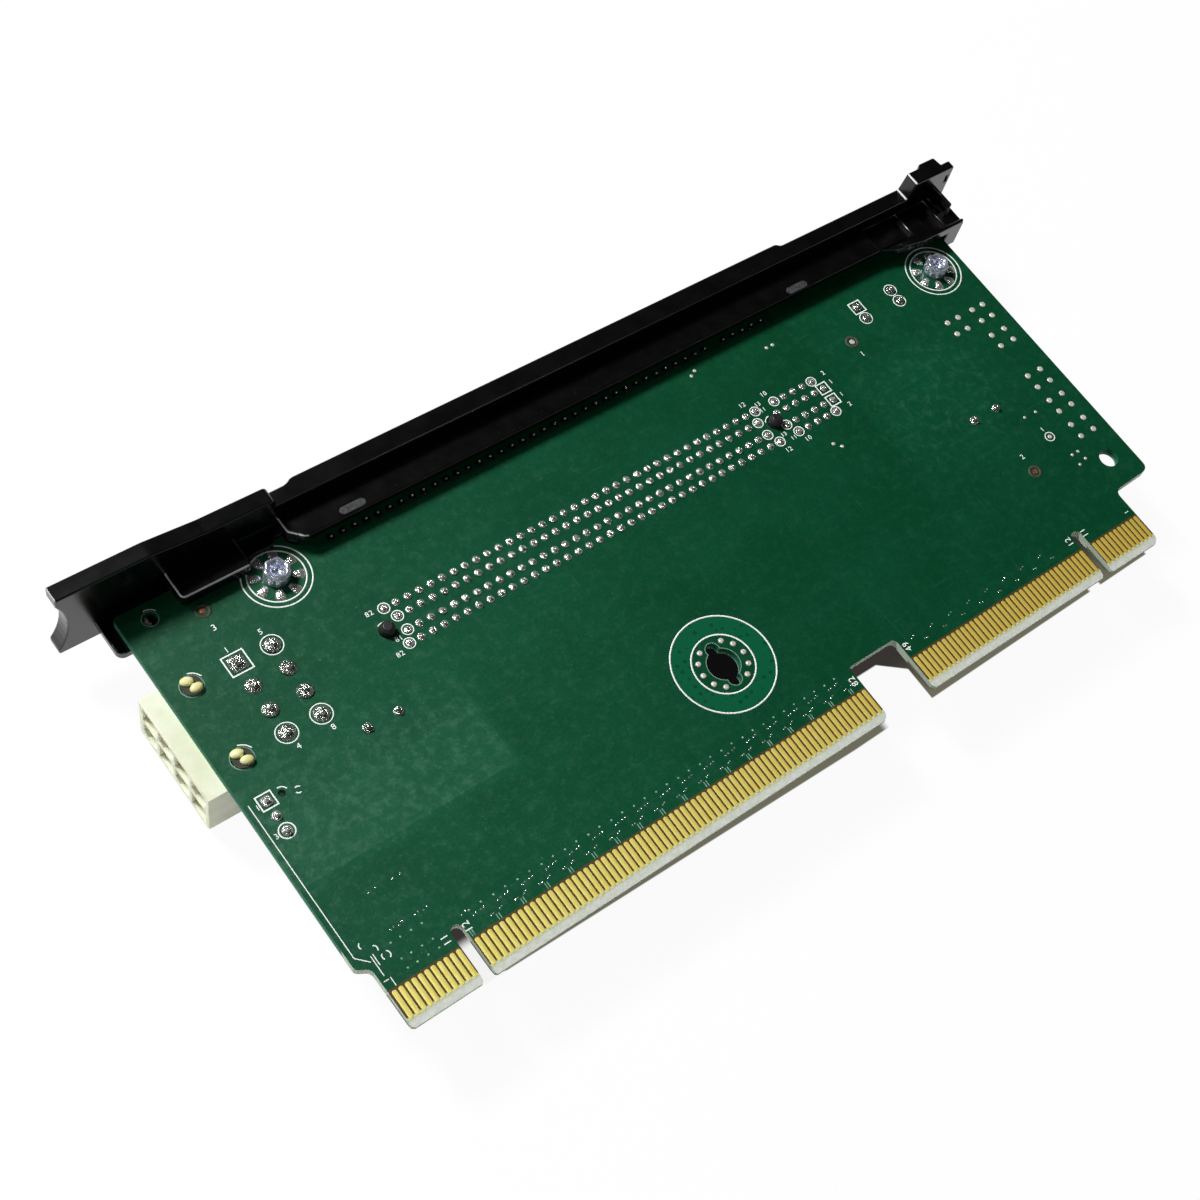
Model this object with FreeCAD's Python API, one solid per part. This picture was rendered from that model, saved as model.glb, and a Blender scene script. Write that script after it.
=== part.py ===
import FreeCAD, Part
import math
import os

# Right-angle expansion riser card: a printed board with two card-edge tongues, two long card
# slots, a power inlet and a moulded bracket that holds the board's top edge.
# Lengths are in mm. While the parts are drawn, X runs along the gold fingers, Y runs up the
# board from the fingers to the bracket, and Z = 0 is the board's solder face, which faces up.

os.makedirs("parts", exist_ok=True)

# ---------------------------------------------------------------- driving dimensions
BOARD_T = 1.57
FINGER_PITCH = 1.0
FINGER_W = 0.7
FINGER_L = 4.4
FINGER_T = 0.04
KEY_W = 1.9
KEY_STEP = 3.0
X16_PER_SIDE = 82
X8_PER_SIDE = 49
PINS_BEFORE_KEY = 11
TONGUE_BOTTOM = -5.65
TONGUE_SIDE = 0.65
BEVEL_L = 1.2
BEVEL_D = 0.45
X8_FIRST_X = 143.73

BOARD_LEFT = -2.6
BOARD_RIGHT = 152.8
SHOULDER_LEFT = 5.0
SHOULDER_RIGHT = 5.7
WIDE_NOTCH_TOP = 4.1

SLOT_PIN_ONE_X = 113.09
SLOT_MID_Y = 44.71
SLOT_PITCH = 20.32
SLOT_TO_TOP = 4.17
SLOT_END = 3.0
SLOT_REACH = 1.3
SLOT_W = 7.5
SLOT_H = 11.25
SLOT_GAP_W = 1.9
SLOT_GAP_D = 7.9
SLOT_KEY_W = 1.7
SLOT_SILL_H = 3.2
SLOT_WAIST = 0.45
SLOT_CHANNEL_D = 1.9
SLOT_LEAD = 0.9
SLOT_WEB = 0.3
ROW_OFFSETS = (3.30, 1.28, -1.29, -3.29)
PEG_D = 2.3
PEG_HOLE_D = 2.5
PEG_TIP = 1.55
FAR_PEG_SPAN = 73.1
BLADE_T = 0.4
BLADE_FOOT = 0.7
TAIL_H = 1.3
TAIL_BASE = 1.2

POWER_PITCH = 4.2
POWER_MID_Y = 44.75
POWER_FACE_X = -5.5
POWER_DEPTH = 12.1
POWER_W = 18.0
POWER_H = 9.6
POWER_ROW_X = (8.2, 13.7)
POWER_PEG_X = 1.2
POWER_PEG_SPAN = 12.8
POWER_PIN_W = 1.14
POWER_CELL_W = 3.5
POWER_CELL_D = 8.6
POWER_LATCH_W = 3.4
SPLIT_PEG_D = 2.8
SPLIT_PEG_HOLE_D = 3.2

HEADER_X = 0.6
HEADER_MID_Y = 28.75
HEADER_PITCH = 2.54

EDGE_GAP = 0.1
WALL_T = 2.65
WALL_RIB_T = 0.65
WALL_OVERLAP = 2.2
WALL_LOW = -5.5
RAIL_TOP = 5.8
HANDLE_L = 33.9
HANDLE_TOP = 8.9
HANDLE_DIP = 1.2
SCOOP_R = 12.0
SCOOP_DEPTH = 1.75
HOOK_L = 9.0
HOOK_TOP = 9.3
HOOK_T = 1.5
HOOK_RIB_L = 4.1
SKIRT_T = 1.7
FLANGE_TOP = 3.2
FLANGE_T = 1.4
FLANGE_W = 5.0
FLANGE_CHAMFER = 2.0
WIDE_L = 17.9
WIDE_W = 7.3
END_BLOCK_LOW = -2.3
RIM_W = 0.7
RIM_H = 0.5
CELL_D = 0.8
CELL_RIB = 0.6
FIN_INSET = 2.1
FIN_W = 4.5
PAD_L = 11.0
PAD_W = 4.7
PAD_H = 2.5
WEB_TOP = 1.0
WEB_W = 2.7
LUG_T = 1.53
LUG_W = 12.8

SCREW_HEAD_D = 4.0
SCREW_HEAD_H = 2.4
DRIVE_D = 2.3
DRIVE_DEPTH = 1.2
SCREW_SHANK_D = 2.4
SCREW_SHANK_L = 6.5
SCREW_HOLE_D = 3.0
SHANK_HOLE_R = 1.24
BOSS_D = 6.0
BOSS_LOW = -7.6

SPOKE_IN = 2.25
SPOKE_OUT = 3.85
SPOKE_W = 1.0

KEYHOLE = (67.42, 14.7)
KEYHOLE_D = 5.2
KEYHOLE_LOBE_D = 2.2
KEYHOLE_LOBE_Y = 2.75
LIGHT_HOLE = (148.0, 10.8)
LIGHT_HOLE_D = 3.4
LOCATOR_HOLE_D = 2.2
TOOLING_HOLE = (2.9, 31.2)
TOOLING_HOLE_D = 1.1

CAN_D = 10.0
CAN_H = 9.6
CAN_PITCH = 5.0
CANS = ((20.35, 33.3), (134.45, 28.25))

POWER_CHIP = (3.2, 2.5, 1.9)
POWER_CHIP_INSET = 4.5
POWER_CHIP_STEP = 5.75
PAIR_CHIP = (0.6, 1.05, 0.5)
PAIR_CHIP_STEP = (2.1, 1.4)
PAIR_CHIP_FIRST = (14.5, 9.0)
PAIR_CHIPS = 32
SWITCH_MID = (132.85, 54.8)
SWITCH_SIZE = (9.7, 6.4, 4.2)
SWITCH_ROWS = 2.5
SWITCH_LEADS = 7.7
MEMORY_MID = (136.5, 17.2)
MEMORY_SIZE = (4.9, 3.9, 1.45)
MEMORY_PITCH = 1.27
CLOCK_MID = (59.0, 29.5)
CLOCK_SIZE = (5.0, 5.0, 0.9)

# ---------------------------------------------------------------- sizes that follow from these
BOARD_TOP = SLOT_MID_Y + SLOT_PITCH + SLOT_TO_TOP
BOARD_TOP_LOW = BOARD_TOP - 0.8
BOARD_TOP_LEFT = BOARD_TOP - 3.6
BOARD_STEP_X = SLOT_PIN_ONE_X + 4.91
BOARD_EAR_X = BOARD_LEFT + 9.4
SCREWS = ((BOARD_LEFT + 22.65, BOARD_TOP - 9.1), (BOARD_RIGHT - 6.3, BOARD_TOP - 13.6))
LOCATOR = (BOARD_LEFT + 4.4, BOARD_TOP_LEFT - 2.6)

WALL_FRONT = BOARD_TOP - WALL_OVERLAP
WALL_BACK = WALL_FRONT + WALL_T
RIB_BACK = WALL_BACK + WALL_RIB_T
SKIRT_BACK = BOARD_TOP + SKIRT_T
WALL_LEFT = BOARD_LEFT - 7.3
WALL_RIGHT = BOARD_RIGHT + 4.8
HANDLE_RIGHT = WALL_LEFT + HANDLE_L
HOOK_LEFT = WALL_RIGHT - HOOK_L
FLANGE_LEFT = HANDLE_RIGHT + EDGE_GAP
FLANGE_RIGHT = WALL_RIGHT - 1.5
FLANGE_LOW = FLANGE_TOP - FLANGE_T
FLANGE_FRONT = WALL_FRONT - FLANGE_W
WIDE_LEFT = FLANGE_RIGHT - WIDE_L
WIDE_FRONT = WALL_FRONT - WIDE_W

nodes = {}


# ---------------------------------------------------------------- small helpers
def vec(x, y, z=0.0):
    return FreeCAD.Vector(x, y, z)


def box(x0, x1, y0, y1, z0, z1):
    return Part.makeBox(x1 - x0, y1 - y0, z1 - z0, vec(x0, y0, z0))


def disc(x, y, z0, z1, diameter):
    return Part.makeCylinder(diameter / 2.0, z1 - z0, vec(x, y, z0))


def rounded_wire(corners, z):
    """Closed wire through (x, y, radius) corners at height z.

    Radius 0 keeps a sharp corner, and a negative one cuts the corner straight by that much.
    """
    edges = []
    cuts = []
    count = len(corners)
    for i in range(count):
        x, y, r = corners[i]
        here = vec(x, y, z)
        back = vec(corners[i - 1][0], corners[i - 1][1], z)
        ahead = vec(corners[(i + 1) % count][0], corners[(i + 1) % count][1], z)
        u = (back - here).normalize()
        w = (ahead - here).normalize()
        if r <= 0:
            cuts.append((here - u * r, None, here - w * r))
            continue
        half = u.getAngle(w) / 2.0
        reach = r / math.tan(half)
        centre = here + (u + w).normalize() * (r / math.sin(half))
        middle = centre + (here - centre).normalize() * r
        cuts.append((here + u * reach, middle, here + w * reach))
    for i in range(count):
        start, middle, end = cuts[i]
        if middle is not None:
            edges.append(Part.Arc(start, middle, end).toShape())
        elif start.distanceToPoint(end) > 1e-6:
            edges.append(Part.makeLine(start, end))
        following = cuts[(i + 1) % count][0]
        if end.distanceToPoint(following) > 1e-6:
            edges.append(Part.makeLine(end, following))
    return Part.Wire(edges)


def plate(corners, z0, z1):
    """Prism over a plan outline of (x, y, radius) corners."""
    face = Part.Face(rounded_wire(corners, z0))
    return face.extrude(vec(0, 0, z1 - z0))


def elevation(corners, y0, y1):
    """Prism over an outline drawn in X and Z, from y0 to y1."""
    solid = plate([(x, z, r) for x, z, r in corners], 0.0, y1 - y0)
    solid.rotate(vec(0, 0, 0), vec(1, 0, 0), 90)
    solid.translate(vec(0, y1, 0))
    return solid


def section_x(points, x0, x1):
    """Prism over an outline drawn in Y and Z, from x0 to x1."""
    ring = [vec(x0, y, z) for y, z in points]
    ring.append(ring[0])
    return Part.Face(Part.makePolygon(ring)).extrude(vec(x1 - x0, 0, 0))


def pyramid(x, y, z, base, height, top=0.0):
    """Four-sided solder cone standing on z."""
    b = base / 2.0
    low = [vec(x - b, y - b, z), vec(x + b, y - b, z), vec(x + b, y + b, z), vec(x - b, y + b, z)]
    tip = vec(x, y, z + height)
    faces = [Part.Face(Part.makePolygon(low + [low[0]]))]
    for i in range(4):
        faces.append(Part.Face(Part.makePolygon([low[i], low[(i + 1) % 4], tip, low[i]])))
    solid = Part.Solid(Part.Shell(faces))
    if solid.Volume < 0:
        solid.reverse()
    return solid


def turned(x, y, profile, sides):
    """Turned piece with flats: (radius, z) steps from top to bottom, each a ring of `sides` corners."""
    rings = []
    for r, z in profile:
        ring = []
        for i in range(sides):
            angle = 2.0 * math.pi * (i + 0.5) / sides
            ring.append(vec(x + r * math.cos(angle), y + r * math.sin(angle), z))
        rings.append(ring)
    faces = [Part.Face(Part.makePolygon(rings[0] + [rings[0][0]]))]
    for upper, lower in zip(rings, rings[1:]):
        for i in range(sides):
            j = (i + 1) % sides
            loop = [upper[i], upper[j], lower[j], lower[i], upper[i]]
            faces.append(Part.Face(Part.makePolygon(loop)))
    faces.append(Part.Face(Part.makePolygon(rings[-1] + [rings[-1][0]])))
    solid = Part.Solid(Part.Shell(faces))
    if solid.Volume < 0:
        solid.reverse()
    return solid


def fuse(shapes):
    body = shapes[0]
    if len(shapes) > 1:
        body = body.fuse(shapes[1:])
    return body.removeSplitter()


def group(shapes):
    return Part.makeCompound(shapes)


# ---------------------------------------------------------------- contact positions
def key_step(number):
    """Distance of contact `number` from contact 1, along the edge."""
    step = (number - 1) * FINGER_PITCH
    if number > PINS_BEFORE_KEY:
        step += KEY_STEP - FINGER_PITCH
    return step


def x16_finger(number):
    return key_step(number)


def x8_finger(number):
    return X8_FIRST_X - key_step(number)


def slot_pin(number):
    return SLOT_PIN_ONE_X - key_step(number)


# ---------------------------------------------------------------- printed board
def board_outline():
    x16_end = x16_finger(X16_PER_SIDE) + TONGUE_SIDE
    x8_start = x8_finger(X8_PER_SIDE) - TONGUE_SIDE
    x8_end = X8_FIRST_X + TONGUE_SIDE
    key_one = (x16_finger(11) + x16_finger(12)) / 2.0
    key_two = (x8_finger(11) + x8_finger(12)) / 2.0
    half = KEY_W / 2.0
    r = half - 0.001
    y0 = TONGUE_BOTTOM
    return [
        (-TONGUE_SIDE, y0, -0.4),
        (key_one - half, y0, -0.3),
        (key_one - half, 3.05, r),
        (key_one + half, 3.05, r),
        (key_one + half, y0, -0.3),
        (x16_end, y0, -0.6),
        (x16_end, WIDE_NOTCH_TOP, 0.4),
        (x8_start, WIDE_NOTCH_TOP, 0.9),
        (x8_start, y0, -0.6),
        (key_two - half, y0, -0.3),
        (key_two - half, 3.3, r),
        (key_two + half, 3.3, r),
        (key_two + half, y0, -0.3),
        (x8_end, y0, -0.6),
        (x8_end, SHOULDER_RIGHT - 0.3, 1.3),
        (BOARD_RIGHT, SHOULDER_RIGHT, 1.3),
        (BOARD_RIGHT, BOARD_TOP_LOW, 0.8),
        (BOARD_STEP_X, BOARD_TOP_LOW, 0.0),
        (BOARD_STEP_X, BOARD_TOP, -0.2),
        (BOARD_EAR_X, BOARD_TOP, -0.5),
        (BOARD_EAR_X, BOARD_TOP_LEFT, -0.5),
        (BOARD_LEFT + 0.1, BOARD_TOP_LEFT, 0.6),
        (BOARD_LEFT, SHOULDER_LEFT, 0.9),
        (-TONGUE_SIDE - 0.1, 3.9, 1.2),
    ]


def slot_peg_places():
    key_x = (slot_pin(11) + slot_pin(12)) / 2.0
    places = []
    for row in range(2):
        y = SLOT_MID_Y + row * SLOT_PITCH
        places.append((key_x, y))
        places.append((key_x - FAR_PEG_SPAN, y))
    return places


def make_board():
    board = plate(board_outline(), -BOARD_T, 0.0)
    cuts = []
    for top, sign in ((0.0, -1.0), (-BOARD_T, 1.0)):
        wedge = [
            (TONGUE_BOTTOM + BEVEL_L, top),
            (TONGUE_BOTTOM - 0.2, top - sign * 0.2),
            (TONGUE_BOTTOM - 0.2, top + sign * BEVEL_D * (1 + 0.2 / BEVEL_L)),
        ]
        cuts.append(section_x(wedge, -TONGUE_SIDE - 1.0, X8_FIRST_X + TONGUE_SIDE + 1.0))
    z0 = -BOARD_T - 1.0
    for x, y in slot_peg_places():
        cuts.append(turned(x, y, [(PEG_HOLE_D / 2.0, 1.0), (PEG_HOLE_D / 2.0, z0)], 24))
    for x, y in SCREWS:
        cuts.append(turned(x, y, [(SCREW_HOLE_D / 2.0, 1.0), (SCREW_HOLE_D / 2.0, z0)], 24))
    for side in (-1, 1):
        peg_y = POWER_MID_Y + side * POWER_PEG_SPAN / 2.0
        cuts.append(disc(POWER_PEG_X, peg_y, z0, 1.0, SPLIT_PEG_HOLE_D))
    cuts.append(disc(LIGHT_HOLE[0], LIGHT_HOLE[1], z0, 1.0, LIGHT_HOLE_D))
    cuts.append(disc(LOCATOR[0], LOCATOR[1], z0, 1.0, LOCATOR_HOLE_D))
    cuts.append(disc(TOOLING_HOLE[0], TOOLING_HOLE[1], z0, 1.0, TOOLING_HOLE_D))
    cuts.append(disc(KEYHOLE[0], KEYHOLE[1], z0, 1.0, KEYHOLE_D))
    for side in (-1, 1):
        y = KEYHOLE[1] + side * KEYHOLE_LOBE_Y
        cuts.append(disc(KEYHOLE[0], y, z0, 1.0, KEYHOLE_LOBE_D))
    return board.cut(fuse_cutters(cuts))


def fuse_cutters(cuts):
    return cuts[0].fuse(cuts[1:])


def fingers(places, z):
    pads = []
    for x in places:
        pads.append(box(x - FINGER_W / 2.0, x + FINGER_W / 2.0, -FINGER_L, 0.0, z, z + FINGER_T))
    return group(pads)


nodes["circuit_board"] = make_board()
x16_places = [x16_finger(n) for n in range(1, X16_PER_SIDE + 1)]
x8_places = [x8_finger(n) for n in range(1, X8_PER_SIDE + 1)]
under = -BOARD_T - FINGER_T
nodes["x16_fingers_solder_side"] = fingers(x16_places, 0.0)
nodes["x16_fingers_component_side"] = fingers(x16_places, under)
nodes["x8_fingers_solder_side"] = fingers(x8_places, 0.0)
nodes["x8_fingers_component_side"] = fingers(x8_places, under)


def make_screw_pads():
    """Eight tinned pads like wheel spokes round each screw hole."""
    pads = []
    for cx, cy in SCREWS:
        for i in range(8):
            angle = 22.5 + 45.0 * i
            pad = box(cx + SPOKE_IN, cx + SPOKE_OUT, cy - SPOKE_W / 2.0, cy + SPOKE_W / 2.0, 0.0, FINGER_T)
            pad.rotate(vec(cx, cy, 0), vec(0, 0, 1), angle)
            pads.append(pad)
    return group(pads)


nodes["screw_spoke_pads"] = make_screw_pads()


# ---------------------------------------------------------------- long card slots
def make_slot_housing(mid_y):
    x_first = slot_pin(1)
    x_last = slot_pin(X16_PER_SIDE)
    x0 = x_last - SLOT_END
    x1 = x_first + SLOT_END
    top = -BOARD_T - SLOT_H
    half = SLOT_W / 2.0
    waist = half - SLOT_WAIST
    sill = -BOARD_T - SLOT_SILL_H
    profile = [
        (mid_y - half, -BOARD_T),
        (mid_y + half, -BOARD_T),
        (mid_y + half, sill),
        (mid_y + waist, sill - SLOT_WAIST),
        (mid_y + waist, top + SLOT_LEAD),
        (mid_y + waist - SLOT_LEAD, top),
        (mid_y - waist + SLOT_LEAD, top),
        (mid_y - waist, top + SLOT_LEAD),
        (mid_y - waist, sill - SLOT_WAIST),
        (mid_y - half, sill),
    ]
    body = section_x(profile, x0, x1)
    key_x = (slot_pin(11) + slot_pin(12)) / 2.0
    spans = (
        (x_last - SLOT_REACH, key_x - SLOT_KEY_W / 2.0),
        (key_x + SLOT_KEY_W / 2.0, x_first + SLOT_REACH),
    )
    floor = top + SLOT_GAP_D
    g = SLOT_GAP_W / 2.0
    cuts = []
    for a, b in spans:
        cuts.append(box(a, b, mid_y - g, mid_y + g, top - 1.0, floor))
        channel = g + SLOT_WAIST * 2.3
        low = top + SLOT_CHANNEL_D
        cuts.append(box(a + SLOT_WEB, b - SLOT_WEB, mid_y - channel, mid_y + channel, low, floor))
        lead = [
            (mid_y - g - SLOT_LEAD, top - 0.001),
            (mid_y + g + SLOT_LEAD, top - 0.001),
            (mid_y + g, top + SLOT_LEAD + 0.2),
            (mid_y - g, top + SLOT_LEAD + 0.2),
        ]
        cuts.append(section_x(lead, a, b))
    for a in (x0 + 6.0, x0 + 32.0, x0 + 58.0):
        for side in (-1, 1):
            y = mid_y + side * waist
            cuts.append(box(a, a + 12.0, y - 0.35, y + 0.35, top + 2.0, top + 6.0))
    body = body.cut(fuse_cutters(cuts))
    pegs = []
    for x, y in slot_peg_places():
        if abs(y - mid_y) < 1.0:
            r = PEG_D / 2.0
            pegs.append(turned(x, y, [(r * 0.6, PEG_TIP), (r, PEG_TIP - 0.5), (r, -BOARD_T)], 12))
    return fuse([body] + pegs)


def make_slot_contacts(mid_y):
    """Spring blades in two facing rows, standing on the floor of the card gap and tapering to its mouth."""
    top = -BOARD_T - SLOT_H
    floor = top + SLOT_GAP_D
    front = SLOT_GAP_W / 2.0 - 0.2
    blades = []
    for number in range(1, X16_PER_SIDE + 1):
        x = slot_pin(number)
        for side in (-1, 1):
            blade = [
                (mid_y + side * (front + BLADE_FOOT), floor),
                (mid_y + side * front, floor),
                (mid_y + side * (front - 0.05), top + SLOT_CHANNEL_D + BLADE_T),
            ]
            blades.append(section_x(blade, x - BLADE_T / 2.0, x + BLADE_T / 2.0))
    return group(blades)


def slot_tail_places(mid_y):
    places = []
    for number in range(1, X16_PER_SIDE + 1):
        even = number % 2 == 0
        upper = ROW_OFFSETS[0] if even else ROW_OFFSETS[1]
        lower = ROW_OFFSETS[3] if even else ROW_OFFSETS[2]
        places.append((slot_pin(number), mid_y + upper))
        places.append((slot_pin(number), mid_y + lower))
    return places


def make_joints(places, base, height):
    return group([pyramid(x, y, 0.0, base, height) for x, y in places])


for index in range(2):
    mid = SLOT_MID_Y + index * SLOT_PITCH
    label = "slot_%d" % (index + 1)
    nodes[label + "_housing"] = make_slot_housing(mid)
    nodes[label + "_contacts"] = make_slot_contacts(mid)
    nodes[label + "_solder_joints"] = make_joints(slot_tail_places(mid), TAIL_BASE, TAIL_H)


# ---------------------------------------------------------------- eight-way power inlet
def power_cells():
    cells = []
    mid_z = -BOARD_T - POWER_H / 2.0
    for row in (0, 1):
        z = mid_z + (0.5 - row) * POWER_PITCH
        for i in range(4):
            cells.append((POWER_MID_Y + (i - 1.5) * POWER_PITCH, z, row, i))
    return cells


def make_power_terminals():
    """Square pins that come out at the back and turn up to the board."""
    w = POWER_PIN_W / 2.0
    pins = []
    for y, z, row, _ in power_cells():
        x_up = POWER_ROW_X[row]
        flat = box(POWER_FACE_X + 2.0, x_up + w, y - w, y + w, z - w, z + w)
        rise = box(x_up - w, x_up + w, y - w, y + w, z - w, -BOARD_T)
        pins.append(fuse([flat, rise]))
    return group(pins)


def make_power_housing(terminals):
    x0 = POWER_FACE_X
    x1 = x0 + POWER_DEPTH
    y0 = POWER_MID_Y - POWER_W / 2.0
    y1 = POWER_MID_Y + POWER_W / 2.0
    low = -BOARD_T - POWER_H
    body = box(x0, x1, y0, y1, low, -BOARD_T)
    cuts = []
    for y, z, row, i in power_cells():
        s = POWER_CELL_W / 2.0
        if (row + i) % 2:
            cuts.append(box(x0 - 1.0, x0 + POWER_CELL_D, y - s, y + s, z - s, z + s))
        else:
            c = s - 0.75
            ring = [
                (y - s, z - s + c), (y - s + c, z - s), (y + s - c, z - s), (y + s, z - s + c),
                (y + s, z + s), (y - s, z + s),
            ]
            cuts.append(section_x(ring, x0 - 1.0, x0 + POWER_CELL_D))
    w = POWER_PIN_W / 2.0 + 0.01
    for y, z, row, _ in power_cells():
        cuts.append(box(x0, x1 + 0.5, y - w, y + w, z - w, z + w))
    body = body.cut(fuse_cutters(cuts))
    latch = section_profile_latch(x0 + 1.0, low)
    pegs = []
    for side in (-1, 1):
        y = POWER_MID_Y + side * POWER_PEG_SPAN / 2.0
        post = disc(POWER_PEG_X, y, -BOARD_T, 0.35, SPLIT_PEG_D)
        slit = box(POWER_PEG_X - 2.0, POWER_PEG_X + 2.0, y - 0.28, y + 0.28, -1.0, 1.0)
        pegs.append(post.cut(slit))
    return fuse([body, latch] + pegs)


def section_profile_latch(x, low):
    """Ramp that the cable plug's latch snaps over."""
    ring = [vec(x, 0, low), vec(x + 4.0, 0, low), vec(x + 4.0, 0, low - 1.0), vec(x + 3.0, 0, low - 1.0)]
    ring.append(ring[0])
    ramp = Part.Face(Part.makePolygon(ring)).extrude(vec(0, POWER_LATCH_W, 0))
    ramp.translate(vec(0, POWER_MID_Y - POWER_LATCH_W / 2.0, 0))
    return ramp


power_terminals = make_power_terminals()
nodes["power_inlet_housing"] = make_power_housing(power_terminals)
nodes["power_inlet_terminals"] = power_terminals
power_places = []
for row_x in POWER_ROW_X:
    for i in range(4):
        power_places.append((row_x, POWER_MID_Y + (i - 1.5) * POWER_PITCH))
nodes["power_inlet_solder_joints"] = make_joints(power_places, 2.2, 1.2)


# ---------------------------------------------------------------- three-pin header
def header_places():
    return [(HEADER_X, HEADER_MID_Y + (i - 1) * HEADER_PITCH) for i in range(3)]


def make_header_pins():
    pins = []
    for x, y in header_places():
        pins.append(box(x - 0.32, x + 0.32, y - 0.32, y + 0.32, -BOARD_T - 8.4, -BOARD_T))
    return group(pins)


def make_header_base():
    half = 1.5 * HEADER_PITCH
    x0, x1 = HEADER_X - 1.25, HEADER_X + 1.25
    y0, y1 = HEADER_MID_Y - half, HEADER_MID_Y + half
    base = box(x0, x1, y0, y1, -BOARD_T - 2.5, -BOARD_T)
    guard = box(x1 - 0.6, x1, y0, y1, -BOARD_T - 7.0, -BOARD_T - 2.5)
    holes = []
    for x, y in header_places():
        holes.append(box(x - 0.33, x + 0.33, y - 0.33, y + 0.33, -BOARD_T - 9.0, -BOARD_T + 0.5))
    return fuse([base, guard]).cut(fuse_cutters(holes))


nodes["cable_header_base"] = make_header_base()
nodes["cable_header_pins"] = make_header_pins()
nodes["cable_header_solder_joints"] = make_joints(header_places(), 1.5, 1.1)


# ---------------------------------------------------------------- capacitors
def make_can(x, y):
    """Drawn aluminium can with its rolled neck, open end towards the board."""
    r = CAN_D / 2.0
    top = -BOARD_T - 0.6
    low = top - CAN_H
    profile = [
        (r, top), (r, top - 1.2), (r - 0.45, top - 1.6),
        (r, top - 2.0), (r, low + 0.4), (r - 0.4, low),
    ]
    return turned(x, y, profile, 18)


def can_lead_places():
    places = []
    for x, y in CANS:
        places.append((x - CAN_PITCH / 2.0, y))
        places.append((x + CAN_PITCH / 2.0, y))
    return places


nodes["capacitor_cans"] = group([make_can(x, y) for x, y in CANS])
bung_r = CAN_D / 2.0 - 0.8
bung = [(bung_r, -BOARD_T), (bung_r, -BOARD_T - 0.6)]
nodes["capacitor_bungs"] = group([turned(x, y, bung, 14) for x, y in CANS])
nodes["capacitor_solder_joints"] = make_joints(can_lead_places(), 1.4, 0.9)


def block_under(x, y, size, low=0.0):
    """Block on the board's component side, `low` away from it."""
    dx, dy, height = size
    face = -BOARD_T - low
    return box(x - dx / 2.0, x + dx / 2.0, y - dy / 2.0, y + dy / 2.0, face - height, face)


bulk_x = BOARD_RIGHT - POWER_CHIP_INSET
power_chip_places = [(bulk_x - POWER_CHIP_STEP, SLOT_MID_Y)]
for steps in (0.0, 1.0, 2.7, 3.7, 4.7):
    power_chip_places.append((bulk_x, SLOT_MID_Y - steps * POWER_CHIP_STEP))
nodes["ceramic_power_capacitors"] = group([block_under(x, y, POWER_CHIP) for x, y in power_chip_places])
coupling_places = []
for i in range(PAIR_CHIPS):
    x = PAIR_CHIP_FIRST[0] + PAIR_CHIP_STEP[0] * i
    y = PAIR_CHIP_FIRST[1] + PAIR_CHIP_STEP[1] * (i % 2)
    coupling_places.append((x, y))
nodes["ceramic_coupling_capacitors"] = group([block_under(x, y, PAIR_CHIP) for x, y in coupling_places])


# ---------------------------------------------------------------- small parts
def switch_pins():
    places = []
    for x in (SWITCH_MID[0] - SWITCH_LEADS / 2.0, SWITCH_MID[0] + SWITCH_LEADS / 2.0):
        for side in (1, -1):
            places.append((x, SWITCH_MID[1] + side * SWITCH_ROWS / 2.0))
    return places


def make_switch():
    """Two-way slide switch: its body, and the sliders in their wells."""
    x, y = SWITCH_MID
    low = -BOARD_T - SWITCH_SIZE[2]
    wells, knobs = [], []
    for side in (-1, 1):
        row = y + side * SWITCH_ROWS / 2.0
        wells.append(box(x - 2.0, x + 2.0, row - 0.7, row + 0.7, low - 1.0, low + 1.0))
        knobs.append(box(x - 2.0, x - 0.6, row - 0.6, row + 0.6, low - 0.4, low + 1.0))
    return block_under(x, y, SWITCH_SIZE).cut(fuse_cutters(wells)), group(knobs)


nodes["option_switch_body"], nodes["option_switch_sliders"] = make_switch()
nodes["option_switch_solder_joints"] = make_joints(switch_pins(), 1.4, 1.1)


def make_memory_leads():
    """Gull-wing leads, four on each side, that carry the body clear of the board."""
    x0, y0 = MEMORY_MID
    side_y = MEMORY_SIZE[1] / 2.0
    section = [
        (0.0, -0.75), (0.4, -0.75), (0.4, -0.02), (1.15, -0.02),
        (1.15, 0.0), (0.2, 0.0), (0.2, -0.55), (0.0, -0.55),
    ]
    leads = []
    for side in (-1, 1):
        for i in range(4):
            x = x0 + (i - 1.5) * MEMORY_PITCH
            points = [(y0 + side * (side_y + py), -BOARD_T + pz) for py, pz in section]
            leads.append(section_x(points, x - 0.2, x + 0.2))
    return group(leads)


nodes["memory_chip_body"] = block_under(*MEMORY_MID, MEMORY_SIZE, 0.15)
nodes["memory_chip_leads"] = make_memory_leads()
nodes["clock_buffer_chip"] = block_under(*CLOCK_MID, CLOCK_SIZE)


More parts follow.
